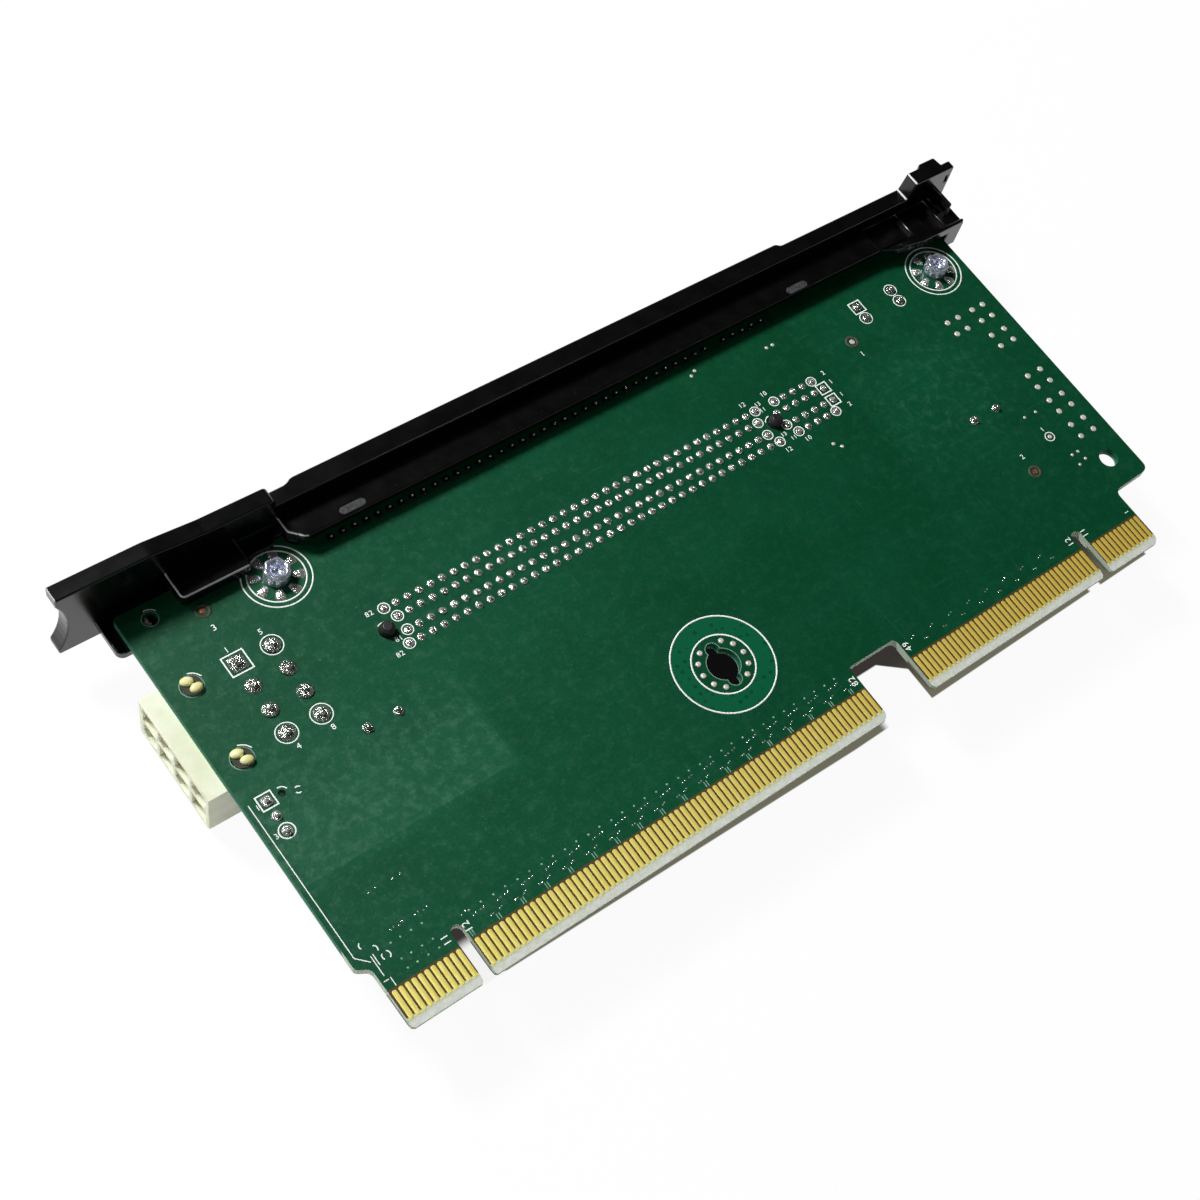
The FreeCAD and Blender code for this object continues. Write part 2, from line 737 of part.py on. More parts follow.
# ---------------------------------------------------------------- moulded bracket
def wall_elevation():
    """Outline of the bracket's wall seen from the board side: handle, low rail and hook."""
    handle_left = WALL_LEFT + 0.45
    dip = HANDLE_TOP - HANDLE_DIP
    return [
        (WALL_LEFT, WALL_LOW, 0.0),
        (BOARD_EAR_X - EDGE_GAP, WALL_LOW, 0.0),
        (BOARD_EAR_X - EDGE_GAP, FLANGE_LOW, 0.0),
        (BOARD_RIGHT + EDGE_GAP, FLANGE_LOW, 0.0),
        (BOARD_RIGHT + EDGE_GAP, WALL_LOW, 0.0),
        (WALL_RIGHT, WALL_LOW, 0.6),
        (WALL_RIGHT, HOOK_TOP, 0.5),
        (HOOK_LEFT, HOOK_TOP, 0.5),
        (HOOK_LEFT - 0.9, RAIL_TOP, 0.6),
        (HANDLE_RIGHT, RAIL_TOP, 0.0),
        (HANDLE_RIGHT, dip, 0.8),
        (HANDLE_RIGHT - 11.0, dip + 0.2, 6.0),
        (HANDLE_RIGHT - 19.5, HANDLE_TOP, 6.0),
        (handle_left, HANDLE_TOP, 0.2),
        (handle_left, RAIL_TOP, 0.0),
        (WALL_LEFT, RAIL_TOP - 1.0, 0.0),
    ]


def wall_plan():
    """Outline of the wall seen from above: its back steps in and out along its length."""
    hook_back = WALL_FRONT + HOOK_T
    hook_rib = WALL_RIGHT - 2.0
    rib_left = HANDLE_RIGHT + 3.8
    rib_right = BOARD_STEP_X + 2.8
    return [
        (WALL_LEFT - 1.0, WALL_FRONT, 0.0),
        (WALL_RIGHT + 1.0, WALL_FRONT, 0.0),
        (WALL_RIGHT + 1.0, hook_back, 0.0),
        (hook_rib, hook_back, 0.0),
        (hook_rib - 0.3, RIB_BACK, -0.2),
        (hook_rib - HOOK_RIB_L + 0.3, RIB_BACK, -0.2),
        (hook_rib - HOOK_RIB_L - 0.2, WALL_BACK, -0.2),
        (rib_right + 0.4, WALL_BACK, -0.2),
        (rib_right - 0.4, RIB_BACK, -0.2),
        (rib_left + 0.6, RIB_BACK, -0.3),
        (rib_left - 0.6, WALL_BACK, -0.3),
        (WALL_LEFT - 1.0, WALL_BACK, 0.0),
    ]


def make_wall():
    wall = elevation(wall_elevation(), WALL_FRONT - 1.0, RIB_BACK + 1.0)
    wall = wall.common(plate(wall_plan(), WALL_LOW - 1.0, HOOK_TOP + 1.0))
    scoop_x = WALL_LEFT + SCOOP_DEPTH - SCOOP_R
    scoop_z = (WALL_LOW + HANDLE_TOP) / 2.0
    depth = RIB_BACK - WALL_FRONT + 2.0
    scoop = Part.makeCylinder(SCOOP_R, depth, vec(scoop_x, WALL_FRONT - 1.0, scoop_z), vec(0, 1, 0))
    return wall.cut(scoop)


def make_flange(seam):
    """Shelf over the board's top edge, closed at both ends and wider at the far one."""
    corner = FLANGE_FRONT + FLANGE_CHAMFER + 0.1
    bend = WIDE_LEFT + WIDE_L * 0.22
    straight = WIDE_LEFT + WIDE_L * 0.47
    outline = [
        (FLANGE_LEFT, seam, 0.0),
        (FLANGE_LEFT, corner, -0.2),
        (FLANGE_LEFT + FLANGE_CHAMFER, FLANGE_FRONT, -0.4),
        (WIDE_LEFT, FLANGE_FRONT, 1.5),
        (bend, WIDE_FRONT + 0.8, 2.0),
        (straight, WIDE_FRONT, 2.0),
        (FLANGE_RIGHT, WIDE_FRONT, -0.3),
        (FLANGE_RIGHT, seam, 0.0),
    ]
    rim = [
        (bend - 0.4, WIDE_FRONT + RIM_W + 0.9, 0.0),
        (bend, WIDE_FRONT + 0.8, 0.0),
        (straight, WIDE_FRONT, 2.0),
        (FLANGE_RIGHT, WIDE_FRONT, -0.3),
        (FLANGE_RIGHT, WIDE_FRONT + RIM_W, 0.0),
        (straight + 0.3, WIDE_FRONT + RIM_W, 1.5),
    ]
    fin_x = FLANGE_RIGHT - FIN_INSET
    near_end = [
        (FLANGE_LEFT, seam, 0.0),
        (FLANGE_LEFT, corner, -0.2),
        (FLANGE_LEFT + 1.2, corner - 1.3, 0.0),
        (FLANGE_LEFT + 2.2, corner - 0.4, 0.0),
        (FLANGE_LEFT + 1.3, corner + 0.6, 0.8),
        (FLANGE_LEFT + 1.3, seam, 0.0),
    ]
    return [
        plate(outline, FLANGE_LOW, FLANGE_TOP),
        plate(rim, FLANGE_LOW, FLANGE_TOP + RIM_H),
        plate(near_end, 0.0, FLANGE_TOP),
        box(BOARD_RIGHT + EDGE_GAP, FLANGE_RIGHT, WIDE_FRONT, seam, END_BLOCK_LOW, FLANGE_TOP),
        box(fin_x, fin_x + CELL_RIB, WALL_FRONT - FIN_W, seam, FLANGE_LOW, RAIL_TOP),
    ]


def make_thumb_pad(seam):
    """Pad on the board beside the handle, with a thin web that runs on to the flange."""
    pad_left = BOARD_EAR_X - 0.4
    pad_right = pad_left + PAD_L
    web_front = WALL_FRONT - WEB_W
    pad = [
        (pad_left, seam, 0.0),
        (pad_left, WALL_FRONT - PAD_W, 0.8),
        (pad_right, WALL_FRONT - PAD_W, 0.0),
        (pad_right, seam, 0.0),
    ]
    web = [
        (pad_right - 1.0, seam, 0.0),
        (pad_right - 1.0, web_front, 0.0),
        (FLANGE_LEFT - 2.0, web_front, -0.2),
        (FLANGE_LEFT - 1.2, web_front + 1.0, 0.0),
        (FLANGE_LEFT + 0.6, web_front + 1.0, 0.0),
        (FLANGE_LEFT + 0.6, seam, 0.0),
    ]
    return [plate(pad, 0.0, PAD_H), plate(web, 0.0, WEB_TOP)]


def make_lugs():
    """Two plates under the board that carry the screw bosses."""
    top = -BOARD_T
    left_x, left_y = SCREWS[0]
    tab_back = SKIRT_BACK - 1.4
    left_lug = [
        (LOCATOR[0] - 6.1, tab_back, 0.0),
        (LOCATOR[0] - 6.1, LOCATOR[1] - 2.2, 1.2),
        (left_x - 9.0, LOCATOR[1] - 2.2, 1.0),
        (left_x - 5.5, left_y - 3.8, 1.5),
        (left_x + 4.5, left_y - 3.8, 1.5),
        (left_x + 4.5, SKIRT_BACK, 0.0),
        (BOARD_EAR_X - EDGE_GAP, SKIRT_BACK, 0.0),
        (BOARD_EAR_X - EDGE_GAP, tab_back, 0.0),
    ]
    right_edge = BOARD_RIGHT - 0.5
    right_front = SCREWS[1][1] - 4.4
    right_lug = [
        (right_edge - LUG_W, SKIRT_BACK, 0.0),
        (right_edge - LUG_W, right_front, 2.0),
        (right_edge, right_front, 2.0),
        (right_edge, SKIRT_BACK, 0.0),
    ]
    pieces = [plate(left_lug, top - LUG_T, top), plate(right_lug, top - LUG_T, top)]
    boss = BOSS_D / 2.0
    for x, y in SCREWS:
        pieces.append(turned(x, y, [(boss, top), (boss, BOSS_LOW)], 16))
        pieces.append(box(x - 0.6, x + 0.6, y + boss / 2.0, SKIRT_BACK - 1.0, WALL_LOW + 1.0, top - 0.5))
    tip = LOCATOR_HOLE_D / 2.0 - 0.15
    locator = [(tip * 0.5, -0.1), (tip, -0.5), (tip, top)]
    pieces.append(turned(LOCATOR[0], LOCATOR[1], locator, 12))
    return pieces


def bracket_cuts(seam):
    """Screw shank holes, the two shallow cells of the flange, its slit and the notch of the hook."""
    cuts = []
    for x, y in SCREWS:
        cuts.append(turned(x, y, [(SHANK_HOLE_R, -0.1), (SHANK_HOLE_R, BOSS_LOW - 1.0)], 16))
    floor = FLANGE_TOP - CELL_D
    above = RAIL_TOP + 1.0
    back = WALL_FRONT - 0.2
    rib = WIDE_LEFT + WIDE_L * 0.44
    fin_x = FLANGE_RIGHT - FIN_INSET
    cuts.append(box(WIDE_LEFT, rib - CELL_RIB / 2.0, FLANGE_FRONT, back, floor, above))
    cuts.append(box(rib + CELL_RIB / 2.0, fin_x - 1.6, WIDE_FRONT + RIM_W + 0.1, back, floor, above))
    cuts.append(box(fin_x - 0.9, fin_x - 0.4, WALL_FRONT - FIN_W + 1.0, back, floor, above))
    face, right = WALL_FRONT, WALL_RIGHT - 0.5
    low = RAIL_TOP - 0.1
    cuts.append(box(right - 0.7, right, face - 0.5, face + HOOK_T / 2.0, low, low + 1.6))
    return cuts


def make_bracket():
    seam = WALL_FRONT + 0.05
    skirt_top = FLANGE_LOW + 0.4
    left_skirt = box(
        BOARD_EAR_X - EDGE_GAP, BOARD_STEP_X, BOARD_TOP + EDGE_GAP / 2.0, SKIRT_BACK, WALL_LOW, skirt_top
    )
    right_skirt = box(
        BOARD_STEP_X, BOARD_RIGHT + EDGE_GAP, BOARD_TOP_LOW + EDGE_GAP / 2.0, SKIRT_BACK, WALL_LOW, skirt_top
    )
    pieces = [make_wall(), left_skirt, right_skirt]
    pieces += make_flange(seam) + make_thumb_pad(seam) + make_lugs()
    return fuse(pieces).cut(fuse_cutters(bracket_cuts(seam))).removeSplitter()


nodes["bracket"] = make_bracket()


def make_screw(x, y):
    """Pan-head screw with a six-lobed drive."""
    r = SCREW_HEAD_D / 2.0
    shank = SCREW_SHANK_D / 2.0
    profile = [
        (r * 0.86, SCREW_HEAD_H), (r * 0.97, SCREW_HEAD_H * 0.9), (r, SCREW_HEAD_H * 0.6), (r, 0.0),
        (shank, 0.0), (shank, -SCREW_SHANK_L + 1.0), (0.3, -SCREW_SHANK_L),
    ]
    screw = turned(x, y, profile, 16)
    star = []
    for i in range(12):
        rad = DRIVE_D / 2.0 if i % 2 == 0 else DRIVE_D * 0.35
        angle = math.radians(30 * i)
        star.append(vec(x + rad * math.cos(angle), y + rad * math.sin(angle), SCREW_HEAD_H - DRIVE_DEPTH))
    star.append(star[0])
    drive = Part.Face(Part.makePolygon(star)).extrude(vec(0, 0, 2.0))
    return screw.cut(drive)


nodes["bracket_screws"] = group([make_screw(x, y) for x, y in SCREWS])


# ---------------------------------------------------------------- shared frame and export
whole = FreeCAD.BoundBox()
for shape in nodes.values():
    whole.add(shape.BoundBox)
shift = vec(-(whole.XMin + whole.XMax) / 2.0, -(whole.YMin + whole.YMax) / 2.0, -whole.ZMin)
for name, shape in nodes.items():
    shape.translate(shift)
    shape.exportStep("parts/%s.step" % name)
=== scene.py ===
# %% [markdown]
# # A riser card, dressed for its portrait
# The solids of this riser card come from its CAD model: a green board, gold fingers, sockets, a
# moulded bracket. They are plain. This lesson gives them what the eye looks for: solder that has
# flowed, print, plating, a glossy mask and softened edges. First the fixed model is loaded.

# %% Load the fixed model
import math

import bmesh
import bpy
from mathutils import Euler, Matrix, Vector


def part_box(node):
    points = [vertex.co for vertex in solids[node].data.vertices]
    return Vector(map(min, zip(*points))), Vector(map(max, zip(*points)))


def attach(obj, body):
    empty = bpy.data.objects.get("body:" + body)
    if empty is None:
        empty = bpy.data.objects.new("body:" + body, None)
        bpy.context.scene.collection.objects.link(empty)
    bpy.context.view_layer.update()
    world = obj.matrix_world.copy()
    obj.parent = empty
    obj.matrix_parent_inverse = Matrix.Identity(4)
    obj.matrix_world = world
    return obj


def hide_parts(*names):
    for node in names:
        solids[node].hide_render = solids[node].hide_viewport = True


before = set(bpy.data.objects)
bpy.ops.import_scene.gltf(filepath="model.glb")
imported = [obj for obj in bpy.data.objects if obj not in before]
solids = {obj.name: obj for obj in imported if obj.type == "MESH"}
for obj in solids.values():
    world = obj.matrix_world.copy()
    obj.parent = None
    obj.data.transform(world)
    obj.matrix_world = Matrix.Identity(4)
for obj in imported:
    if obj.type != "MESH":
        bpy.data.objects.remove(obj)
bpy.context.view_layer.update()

MM = 0.001
print("solids:", len(solids))

# %% [markdown]
# Every place on a board is given from one corner of its drawing. Here that is the first gold
# finger: X runs along the fingers, Y up the board and Z out of the solder face, all in
# millimetres. The board's own box says where that point lies in the shared frame. Places that
# more than one cell needs are named here too.

# %% The board's own ruler
board_low, board_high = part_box("circuit_board")
BOARD_LEFT, TONGUE_BOTTOM = -2.6, -5.65
FIRST_FINGER = Vector((board_low[0] - BOARD_LEFT * MM, board_low[1] - TONGUE_BOTTOM * MM, board_high[2]))
BOARD_T = (board_high[2] - board_low[2]) / MM
KEYHOLE, KEYHOLE_R, LOBE_OFFSET = (67.42, 14.7), 2.6, 2.75
POWER_MID_Y, POWER_PITCH, POWER_ROWS = 44.75, 4.2, (8.2, 13.7)
POWER_FIRST = (POWER_ROWS[0], 51.05)
PEGS = [(1.2, POWER_MID_Y + side * 6.4) for side in (-1, 1)]
LOCATOR = (1.8, 63.0)
HEADER = ((0.6, 31.29), (0.6, 28.75), (0.6, 26.21))
SWITCH = ((129.0, 56.05), (129.0, 53.55), (136.7, 56.05), (136.7, 53.55))
SCREWS = ((20.05, 60.1), (146.5, 55.6))
SCREW_HEADS = (SCREWS[0], (146.7, 55.6))
CANS = ((20.35, 33.3), (134.45, 28.25))


def at(x, y, z=0.0):
    """A place on the board, from millimetres to the shared frame."""
    return FIRST_FINGER + Vector((x, y, z)) * MM


def paint(red, green, blue):
    """A colour as it looks on screen, 0 to 255, turned into the light that a shader works with."""
    light = []
    for part in (red, green, blue):
        part /= 255.0
        light.append(part / 12.92 if part <= 0.04045 else ((part + 0.055) / 1.055) ** 2.4)
    return (*light, 1.0)


print("board thickness mm:", round(BOARD_T, 3))

# %% [markdown]
# Shader maths soon drowns in boxes and wires. Two small classes let it be written as sums. A
# Number wraps one value of a node tree, and + - * / on it add Math nodes. A Finish is a material,
# and its one method `node` adds any other node: first its settings, then its sockets.

# %% Shader maths in plain sums
def maths(finish, operation, *values):
    made = finish.node("ShaderNodeMath", {"operation": operation}, dict(enumerate(values)))
    return Number(finish, made.outputs[0])


class Number:
    """One value in a node tree."""

    def __init__(self, finish, socket):
        self.finish = finish
        self.socket = socket

    def __add__(self, other):
        return maths(self.finish, "ADD", self, other)

    def __radd__(self, other):
        return maths(self.finish, "ADD", other, self)

    def __sub__(self, other):
        return maths(self.finish, "SUBTRACT", self, other)

    def __rsub__(self, other):
        return maths(self.finish, "SUBTRACT", other, self)

    def __mul__(self, other):
        return maths(self.finish, "MULTIPLY", self, other)

    def __rmul__(self, other):
        return maths(self.finish, "MULTIPLY", other, self)

    def __truediv__(self, other):
        return maths(self.finish, "DIVIDE", self, other)

    def __abs__(self):
        return maths(self.finish, "ABSOLUTE", self)

    def most(self, other):
        """The larger of two values."""
        return maths(self.finish, "MAXIMUM", self, other)

    def rise(self, low, high):
        """0 below low, 1 above high, and a soft ramp between."""
        made = self.finish.node(
            "ShaderNodeMapRange",
            {"interpolation_type": "SMOOTHSTEP"},
            {"Value": self, "From Min": low, "From Max": high},
        )
        return Number(self.finish, made.outputs[0])

    def within(self, low, high, soft):
        """1 between low and high, with soft sides."""
        return self.rise(low - soft, low + soft) * (1 - self.rise(high - soft, high + soft))


def distance(x, y):
    """How far a place lies from the middle, given how far it lies along X and Y."""
    return maths(x.finish, "SQRT", x * x + y * y)


def fill_node(tree, kind, settings=None, inputs=None):
    """Adds one node to a tree: settings first, then a value or a link for each socket."""
    made = tree.nodes.new(kind)
    for label, value in (settings or {}).items():
        if label == "stops":
            ramp = made.color_ramp
            ramp.elements[0].position = value[0][0]
            ramp.elements[-1].position = value[-1][0]
            for place, _ in value[1:-1]:
                ramp.elements.new(place)
            for element, (_, colour) in zip(ramp.elements, value):
                element.color = colour
        else:
            setattr(made, label, value)
    for label, value in (inputs or {}).items():
        if isinstance(value, Number):
            value = value.socket
        if isinstance(value, bpy.types.NodeSocket):
            tree.links.new(value, made.inputs[label])
        else:
            made.inputs[label].default_value = value
    return made


class Finish:
    """A material, built from the board's own ruler."""

    def __init__(self, name, **steady):
        self.material = bpy.data.materials.new(name)
        self.material.use_nodes = True
        self.tree = self.material.node_tree
        self.surface = self.tree.nodes["Principled BSDF"]
        for label, value in steady.items():
            self.surface.inputs[label.replace("_", " ")].default_value = value

    def node(self, kind, settings=None, inputs=None):
        return fill_node(self.tree, kind, settings, inputs)

    def ruler(self):
        """The place on the piece in millimetres from the first finger: the vector, then x, y, z."""
        place = self.node("ShaderNodeTexCoord").outputs["Object"]
        moved = self.node("ShaderNodeVectorMath", {"operation": "SUBTRACT"}, {0: place, 1: FIRST_FINGER})
        scaled = self.node(
            "ShaderNodeVectorMath", {"operation": "SCALE"}, {0: moved.outputs[0], "Scale": 1.0 / MM}
        ).outputs[0]
        parts = self.node("ShaderNodeSeparateXYZ", None, {0: scaled}).outputs
        return [scaled] + [Number(self, part) for part in parts]

    def facing(self):
        """How far the surface faces along X, Y and Z."""
        flat = self.node("ShaderNodeNewGeometry").outputs["True Normal"]
        return [Number(self, part) for part in self.node("ShaderNodeSeparateXYZ", None, {0: flat}).outputs]

    def cloud(self, place, scale, detail=3.0, roughness=0.55, stretch=None, turn=0.0):
        """Soft noise, `scale` lumps to the millimetre."""
        if stretch:
            place = self.node(
                "ShaderNodeMapping", None,
                {"Vector": place, "Rotation": (0.0, 0.0, turn), "Scale": stretch},
            ).outputs[0]
        made = self.node(
            "ShaderNodeTexNoise", None,
            {"Vector": place, "Scale": scale, "Detail": detail, "Roughness": roughness},
        )
        return Number(self, made.outputs[0])

    def mix(self, share, first, second):
        """From the first colour to the second as share goes from 0 to 1."""
        return self.node(
            "ShaderNodeMix", {"data_type": "RGBA", "clamp_factor": True}, {0: share, 6: first, 7: second}
        ).outputs[2]

    def bump(self, height, depth_mm):
        made = self.node(
            "ShaderNodeBump", None, {"Height": height, "Strength": 1.0, "Distance": depth_mm * MM}
        )
        return made.outputs[0]

    def wear(self, **links):
        """Links what changes over the surface."""
        for label, value in links.items():
            if isinstance(value, Number):
                value = value.socket
            self.tree.links.new(value, self.surface.inputs[label.replace("_", " ")])
        return self.material


print("shader bench ready")

# %% [markdown]
# ## Finishes
# The solder mask is a green lacquer that lies over copper and glass cloth. It is deep green
# where copper runs under it, a little paler where it was rubbed or handled, and painted paler
# and hazier towards the left as a sheen of light. On the two tongues it stops: the board is dark
# brown between the fingers, and below them the milled bevel shows pale glass fibre, as every cut
# edge does; just under the fingers a painted reflection of the gold tints the bevel, and painted
# shade darkens the lowest part of the bevel and of the cut edges. One finish can hold all of it,
# because the board's ruler says where each of these begins.

# %% Green mask over laminate
mask = Finish("green_solder_mask", Specular_IOR_Level=0.35)
place, x, y, z = mask.ruler()
side_z = mask.facing()[2]
deep_green = paint(5, 65, 38)
mid_green = paint(14, 84, 54)
hazy_green = paint(58, 116, 90)

lumps = mask.cloud(place, 0.11, 4.0, 0.6)
grain = mask.cloud(place, 1.6, 4.0, 0.7)
smears = mask.cloud(place, 0.35, 3.0, 0.6, stretch=(0.25, 1.0, 1.0), turn=0.6)
# painted light: the mask is made paler and hazier towards the left, as a sheen of light from that side
painted_left_light = 1 - x.rise(-10.0, 120.0)
tone = lumps.rise(0.3, 0.75) * 0.3 + painted_left_light * 0.45 + (grain - 0.5) * 0.9
for x0, x1, y0, y1, soft, strength in (
    (-1.0, 33.0, 17.0, 28.5, 1.2, 0.34),
    (0.0, 60.0, 30.0, 40.0, 4.0, 0.18),
    (116.0, 152.0, 19.0, 60.0, 1.0, 0.10),
    (119.0, 138.0, 29.0, 45.0, 4.0, 0.22),
    (60.0, 92.0, -1.0, 30.0, 1.5, -0.12),
    (105.0, 116.0, 5.0, 60.0, 0.6, -0.08),
):
    tone = tone + x.within(x0, x1, soft) * y.within(y0, y1, soft) * strength
green = mask.mix(tone, deep_green, mid_green)

scratch = mask.cloud(place, 0.9, 2.0, 0.5, stretch=(0.12, 1.9, 1.0), turn=-0.5).rise(0.70, 0.78)
scratch = scratch + mask.cloud(place, 0.8, 2.0, 0.5, stretch=(2.2, 0.1, 1.0), turn=-0.35).rise(0.70, 0.78)
flecks = mask.cloud(place, 2.2, 5.0, 0.75).rise(0.58, 0.7) * (0.2 + painted_left_light * 0.7)
mottle = mask.cloud(place, 0.55, 5.0, 0.72)
tide = mottle * 1.2 - 0.6
wiped = (x + tide).rise(-12.0, -4.0) * (1 - (x + tide).rise(32.2, 33.0))
wiped = wiped * (y + tide).rise(17.9, 18.6) * (1 - (y + tide).rise(25.0, 40.0))
# real scuffs, flecks and grit, mixed with the painted sheen towards the left
scuffs_and_sheen = smears.rise(0.55, 0.85) * painted_left_light * 0.12 + scratch * 0.14 + flecks * 0.32
handled = x.within(118.0, 141.0, 4.0) * y.within(25.0, 46.0, 4.0)
cloudy = 0.07 + painted_left_light * 0.14 + x.rise(104.0, 112.0) * 0.05 + handled * 0.16
scuffs_and_sheen = scuffs_and_sheen + mottle.rise(0.45, 0.75) * cloudy
scuffs_and_sheen = scuffs_and_sheen + wiped * (0.06 + mottle.rise(0.4, 0.7) * 0.18)
scuffs_and_sheen = scuffs_and_sheen + (y + tide).within(18.1, 18.5, 0.12) * x.within(-2.0, 32.0, 2.0) * 0.07
grit = mask.cloud(place, 2.8, 2.0, 0.5).rise(0.71, 0.75) * (0.25 + painted_left_light * 0.5)
scuffs_and_sheen = scuffs_and_sheen + grit
green = mask.mix(scuffs_and_sheen, green, hazy_green)

ring_x, ring_y = x - KEYHOLE[0], y - KEYHOLE[1]
ring_reach = distance(ring_x, ring_y)
via_dots = mask.node("ShaderNodeTexVoronoi", None, {"Vector": place, "Scale": 0.72, "Randomness": 0.35})
dotted = 1 - Number(mask, via_dots.outputs[0]).rise(0.16, 0.3)
band = ring_reach.within(5.0, 8.0, 0.08)
green = mask.mix(band * 0.85, green, paint(6, 92, 58))
green = mask.mix(band * dotted * 0.75, green, paint(4, 62, 36))
lobe_reach = distance(ring_x, abs(ring_y) - LOBE_OFFSET)
rim = ring_reach.within(KEYHOLE_R - 0.1, KEYHOLE_R + 0.12, 0.03).most(lobe_reach.within(1.0, 1.22, 0.03))
rim = rim * ring_reach.rise(2.45, 2.55) * lobe_reach.rise(1.0, 1.06)
for (hole_x, hole_y), radius in ((PEGS[0], 1.6), (PEGS[1], 1.6), (LOCATOR, 1.1)):
    rim = rim + distance(x - hole_x, y - hole_y).within(radius, radius + 0.16, 0.03)
green = mask.mix(rim * 0.8, green, paint(128, 168, 146))

# the board is dark brown between the fingers
between_fingers_brown = mask.mix(grain, paint(58, 44, 20), paint(88, 70, 34))
fibre = mask.mix(grain.rise(0.35, 0.7), paint(230, 238, 222), paint(253, 255, 249))
# painted reflection: the bevel just under the finger tips is tinted yellow-green, as the gold would mirror
# onto it
fibre = mask.mix(y.rise(-4.9, -4.2) * 0.75, fibre, paint(192, 196, 104))
# painted shade: the lowest part of the bevel is darkened
fibre = mask.mix(1 - z.rise(-0.78, -0.62), fibre, paint(104, 104, 88))
bare = 1 - y.rise(0.25, 0.32)
below_fingers = 1 - y.rise(-4.3, -4.0)
face = mask.mix(bare, green, mask.mix(below_fingers, between_fingers_brown, fibre))
cut_edge = 1 - abs(side_z).rise(0.5, 0.8)
raw_edge = mask.mix(grain, paint(166, 182, 162), paint(214, 226, 208))
stain = mask.mix(grain, paint(14, 90, 62), paint(30, 116, 86))
stained_edge = mask.mix(z.rise(-1.5, -0.9), paint(120, 172, 150), stain)
edge_colour = mask.mix(x.within(-4.0, 84.0, 0.3) * (1 - y.rise(7.5, 8.5)), stained_edge, raw_edge)
edge_colour = mask.mix(x.within(84.0, 155.0, 1.0) * (1 - y.rise(7.5, 8.5)), edge_colour, raw_edge)
# painted shade: the lowest part of the cut edges on the tongues is darkened
edge_colour = mask.mix(1 - z.rise(-1.3, -0.75), edge_colour, mask.mix(bare, edge_colour, paint(104, 104, 88)))
colour = mask.mix(cut_edge, face, edge_colour)
rough = 0.27 + painted_left_light * 0.04 + grain * 0.06 + scuffs_and_sheen * 0.5 + bare * 0.3 + cut_edge * 0.35
skin = mask.cloud(place, 2.4, 3.0, 0.6) * 0.6 + lumps * 0.4
green_mask = mask.wear(Base_Color=colour, Roughness=rough, Normal=mask.bump(skin, 0.02))
print(green_mask.name, "nodes:", len(mask.tree.nodes))

# %% [markdown]
# Metal is mostly what it mirrors, so a metal finish is one base colour, a roughness that
# wanders, and a bump too small to see as shape. Gold fingers carry faint lines along their
# length, from being pushed into a socket, and a painted shade turns them brown towards the
# right. Solder is brighter, and frozen in small dimples; in the row beside the bracket, the
# bracket's shadow is painted dark round each joint below its tip.

# %% Gold, solder and plated steel
def metal(
    name, dark, bright, low_rough, high_rough, scale, depth_mm,
    stretch=None, mirror=1.0, crown_mm=0.0, right_shade=None, bracket_shadow=None,
):
    finish = Finish(name, Metallic=mirror)
    spot, px, py, pz = finish.ruler()
    tarnish = finish.cloud(spot, scale, 4.0, 0.6, stretch=stretch)
    dimples = finish.cloud(spot, scale * 1.7, 3.0, 0.6)
    relief = dimples * depth_mm
    if crown_mm:
        along = px + px.rise(86.0, 86.1) * 0.27
        across = (along - maths(finish, "ROUND", along)) / 0.35
        relief = relief + (1 - across * across) * crown_mm
    colour = finish.mix(tarnish.rise(0.3, 0.7), dark, bright)
    # painted shade: the gold darkens to brown towards the right
    if right_shade:
        colour = finish.mix(px.rise(-30.0, 150.0) * 0.8, colour, right_shade)
    # painted shadow: in the row in front of the bracket each joint is dark below its tip, where the bracket's
    # shadow falls
    if bracket_shadow:
        in_bracket_shadow = py.rise(60.8, 61.2) * px.within(26.0, 113.0, 0.5) * (1 - pz.rise(0.36, 0.5))
        colour = finish.mix(in_bracket_shadow, colour, bracket_shadow)
    return finish.wear(
        Base_Color=colour,
        Roughness=low_rough + dimples * (high_rough - low_rough),
        Normal=finish.bump(relief, 1.0),
    )


gold = metal(
    "gold_plating", paint(246, 222, 90), paint(255, 250, 158), 0.26, 0.42, 1.5, 0.012, (4.0, 0.5, 1.0),
    mirror=0.2, crown_mm=0.05, right_shade=paint(206, 172, 66),
)
solder = metal(
    "bright_solder", paint(188, 190, 184), paint(255, 255, 252), 0.1, 0.24, 2.2, 0.12,
    mirror=0.8, bracket_shadow=paint(20, 30, 22),
)
broad_solder = metal(
    "lumpy_solder", paint(120, 126, 118), paint(226, 230, 222), 0.08, 0.2, 1.8, 0.2, mirror=0.88
)
flat_tin = metal(
    "tinned_pads", paint(196, 190, 176), paint(244, 241, 232), 0.25, 0.45, 3.0, 0.04, mirror=0.3
)
tin = metal("tin_plate", paint(160, 158, 150), paint(206, 204, 198), 0.25, 0.45, 2.0, 0.02)
zinc = metal(
    "zinc_plated_steel", paint(190, 198, 222), paint(240, 244, 255), 0.14, 0.3, 1.4, 0.03, mirror=0.8
)
can_metal = metal(
    "drawn_aluminium", paint(176, 177, 180), paint(214, 215, 218), 0.25, 0.4, 0.8, 0.02, (1.0, 1.0, 0.1)
)
copper = metal("bare_copper", paint(104, 58, 36), paint(160, 100, 66), 0.35, 0.5, 2.0, 0.02, mirror=0.3)
print("metals:", [m.name for m in (gold, solder, tin, zinc, can_metal, copper)])

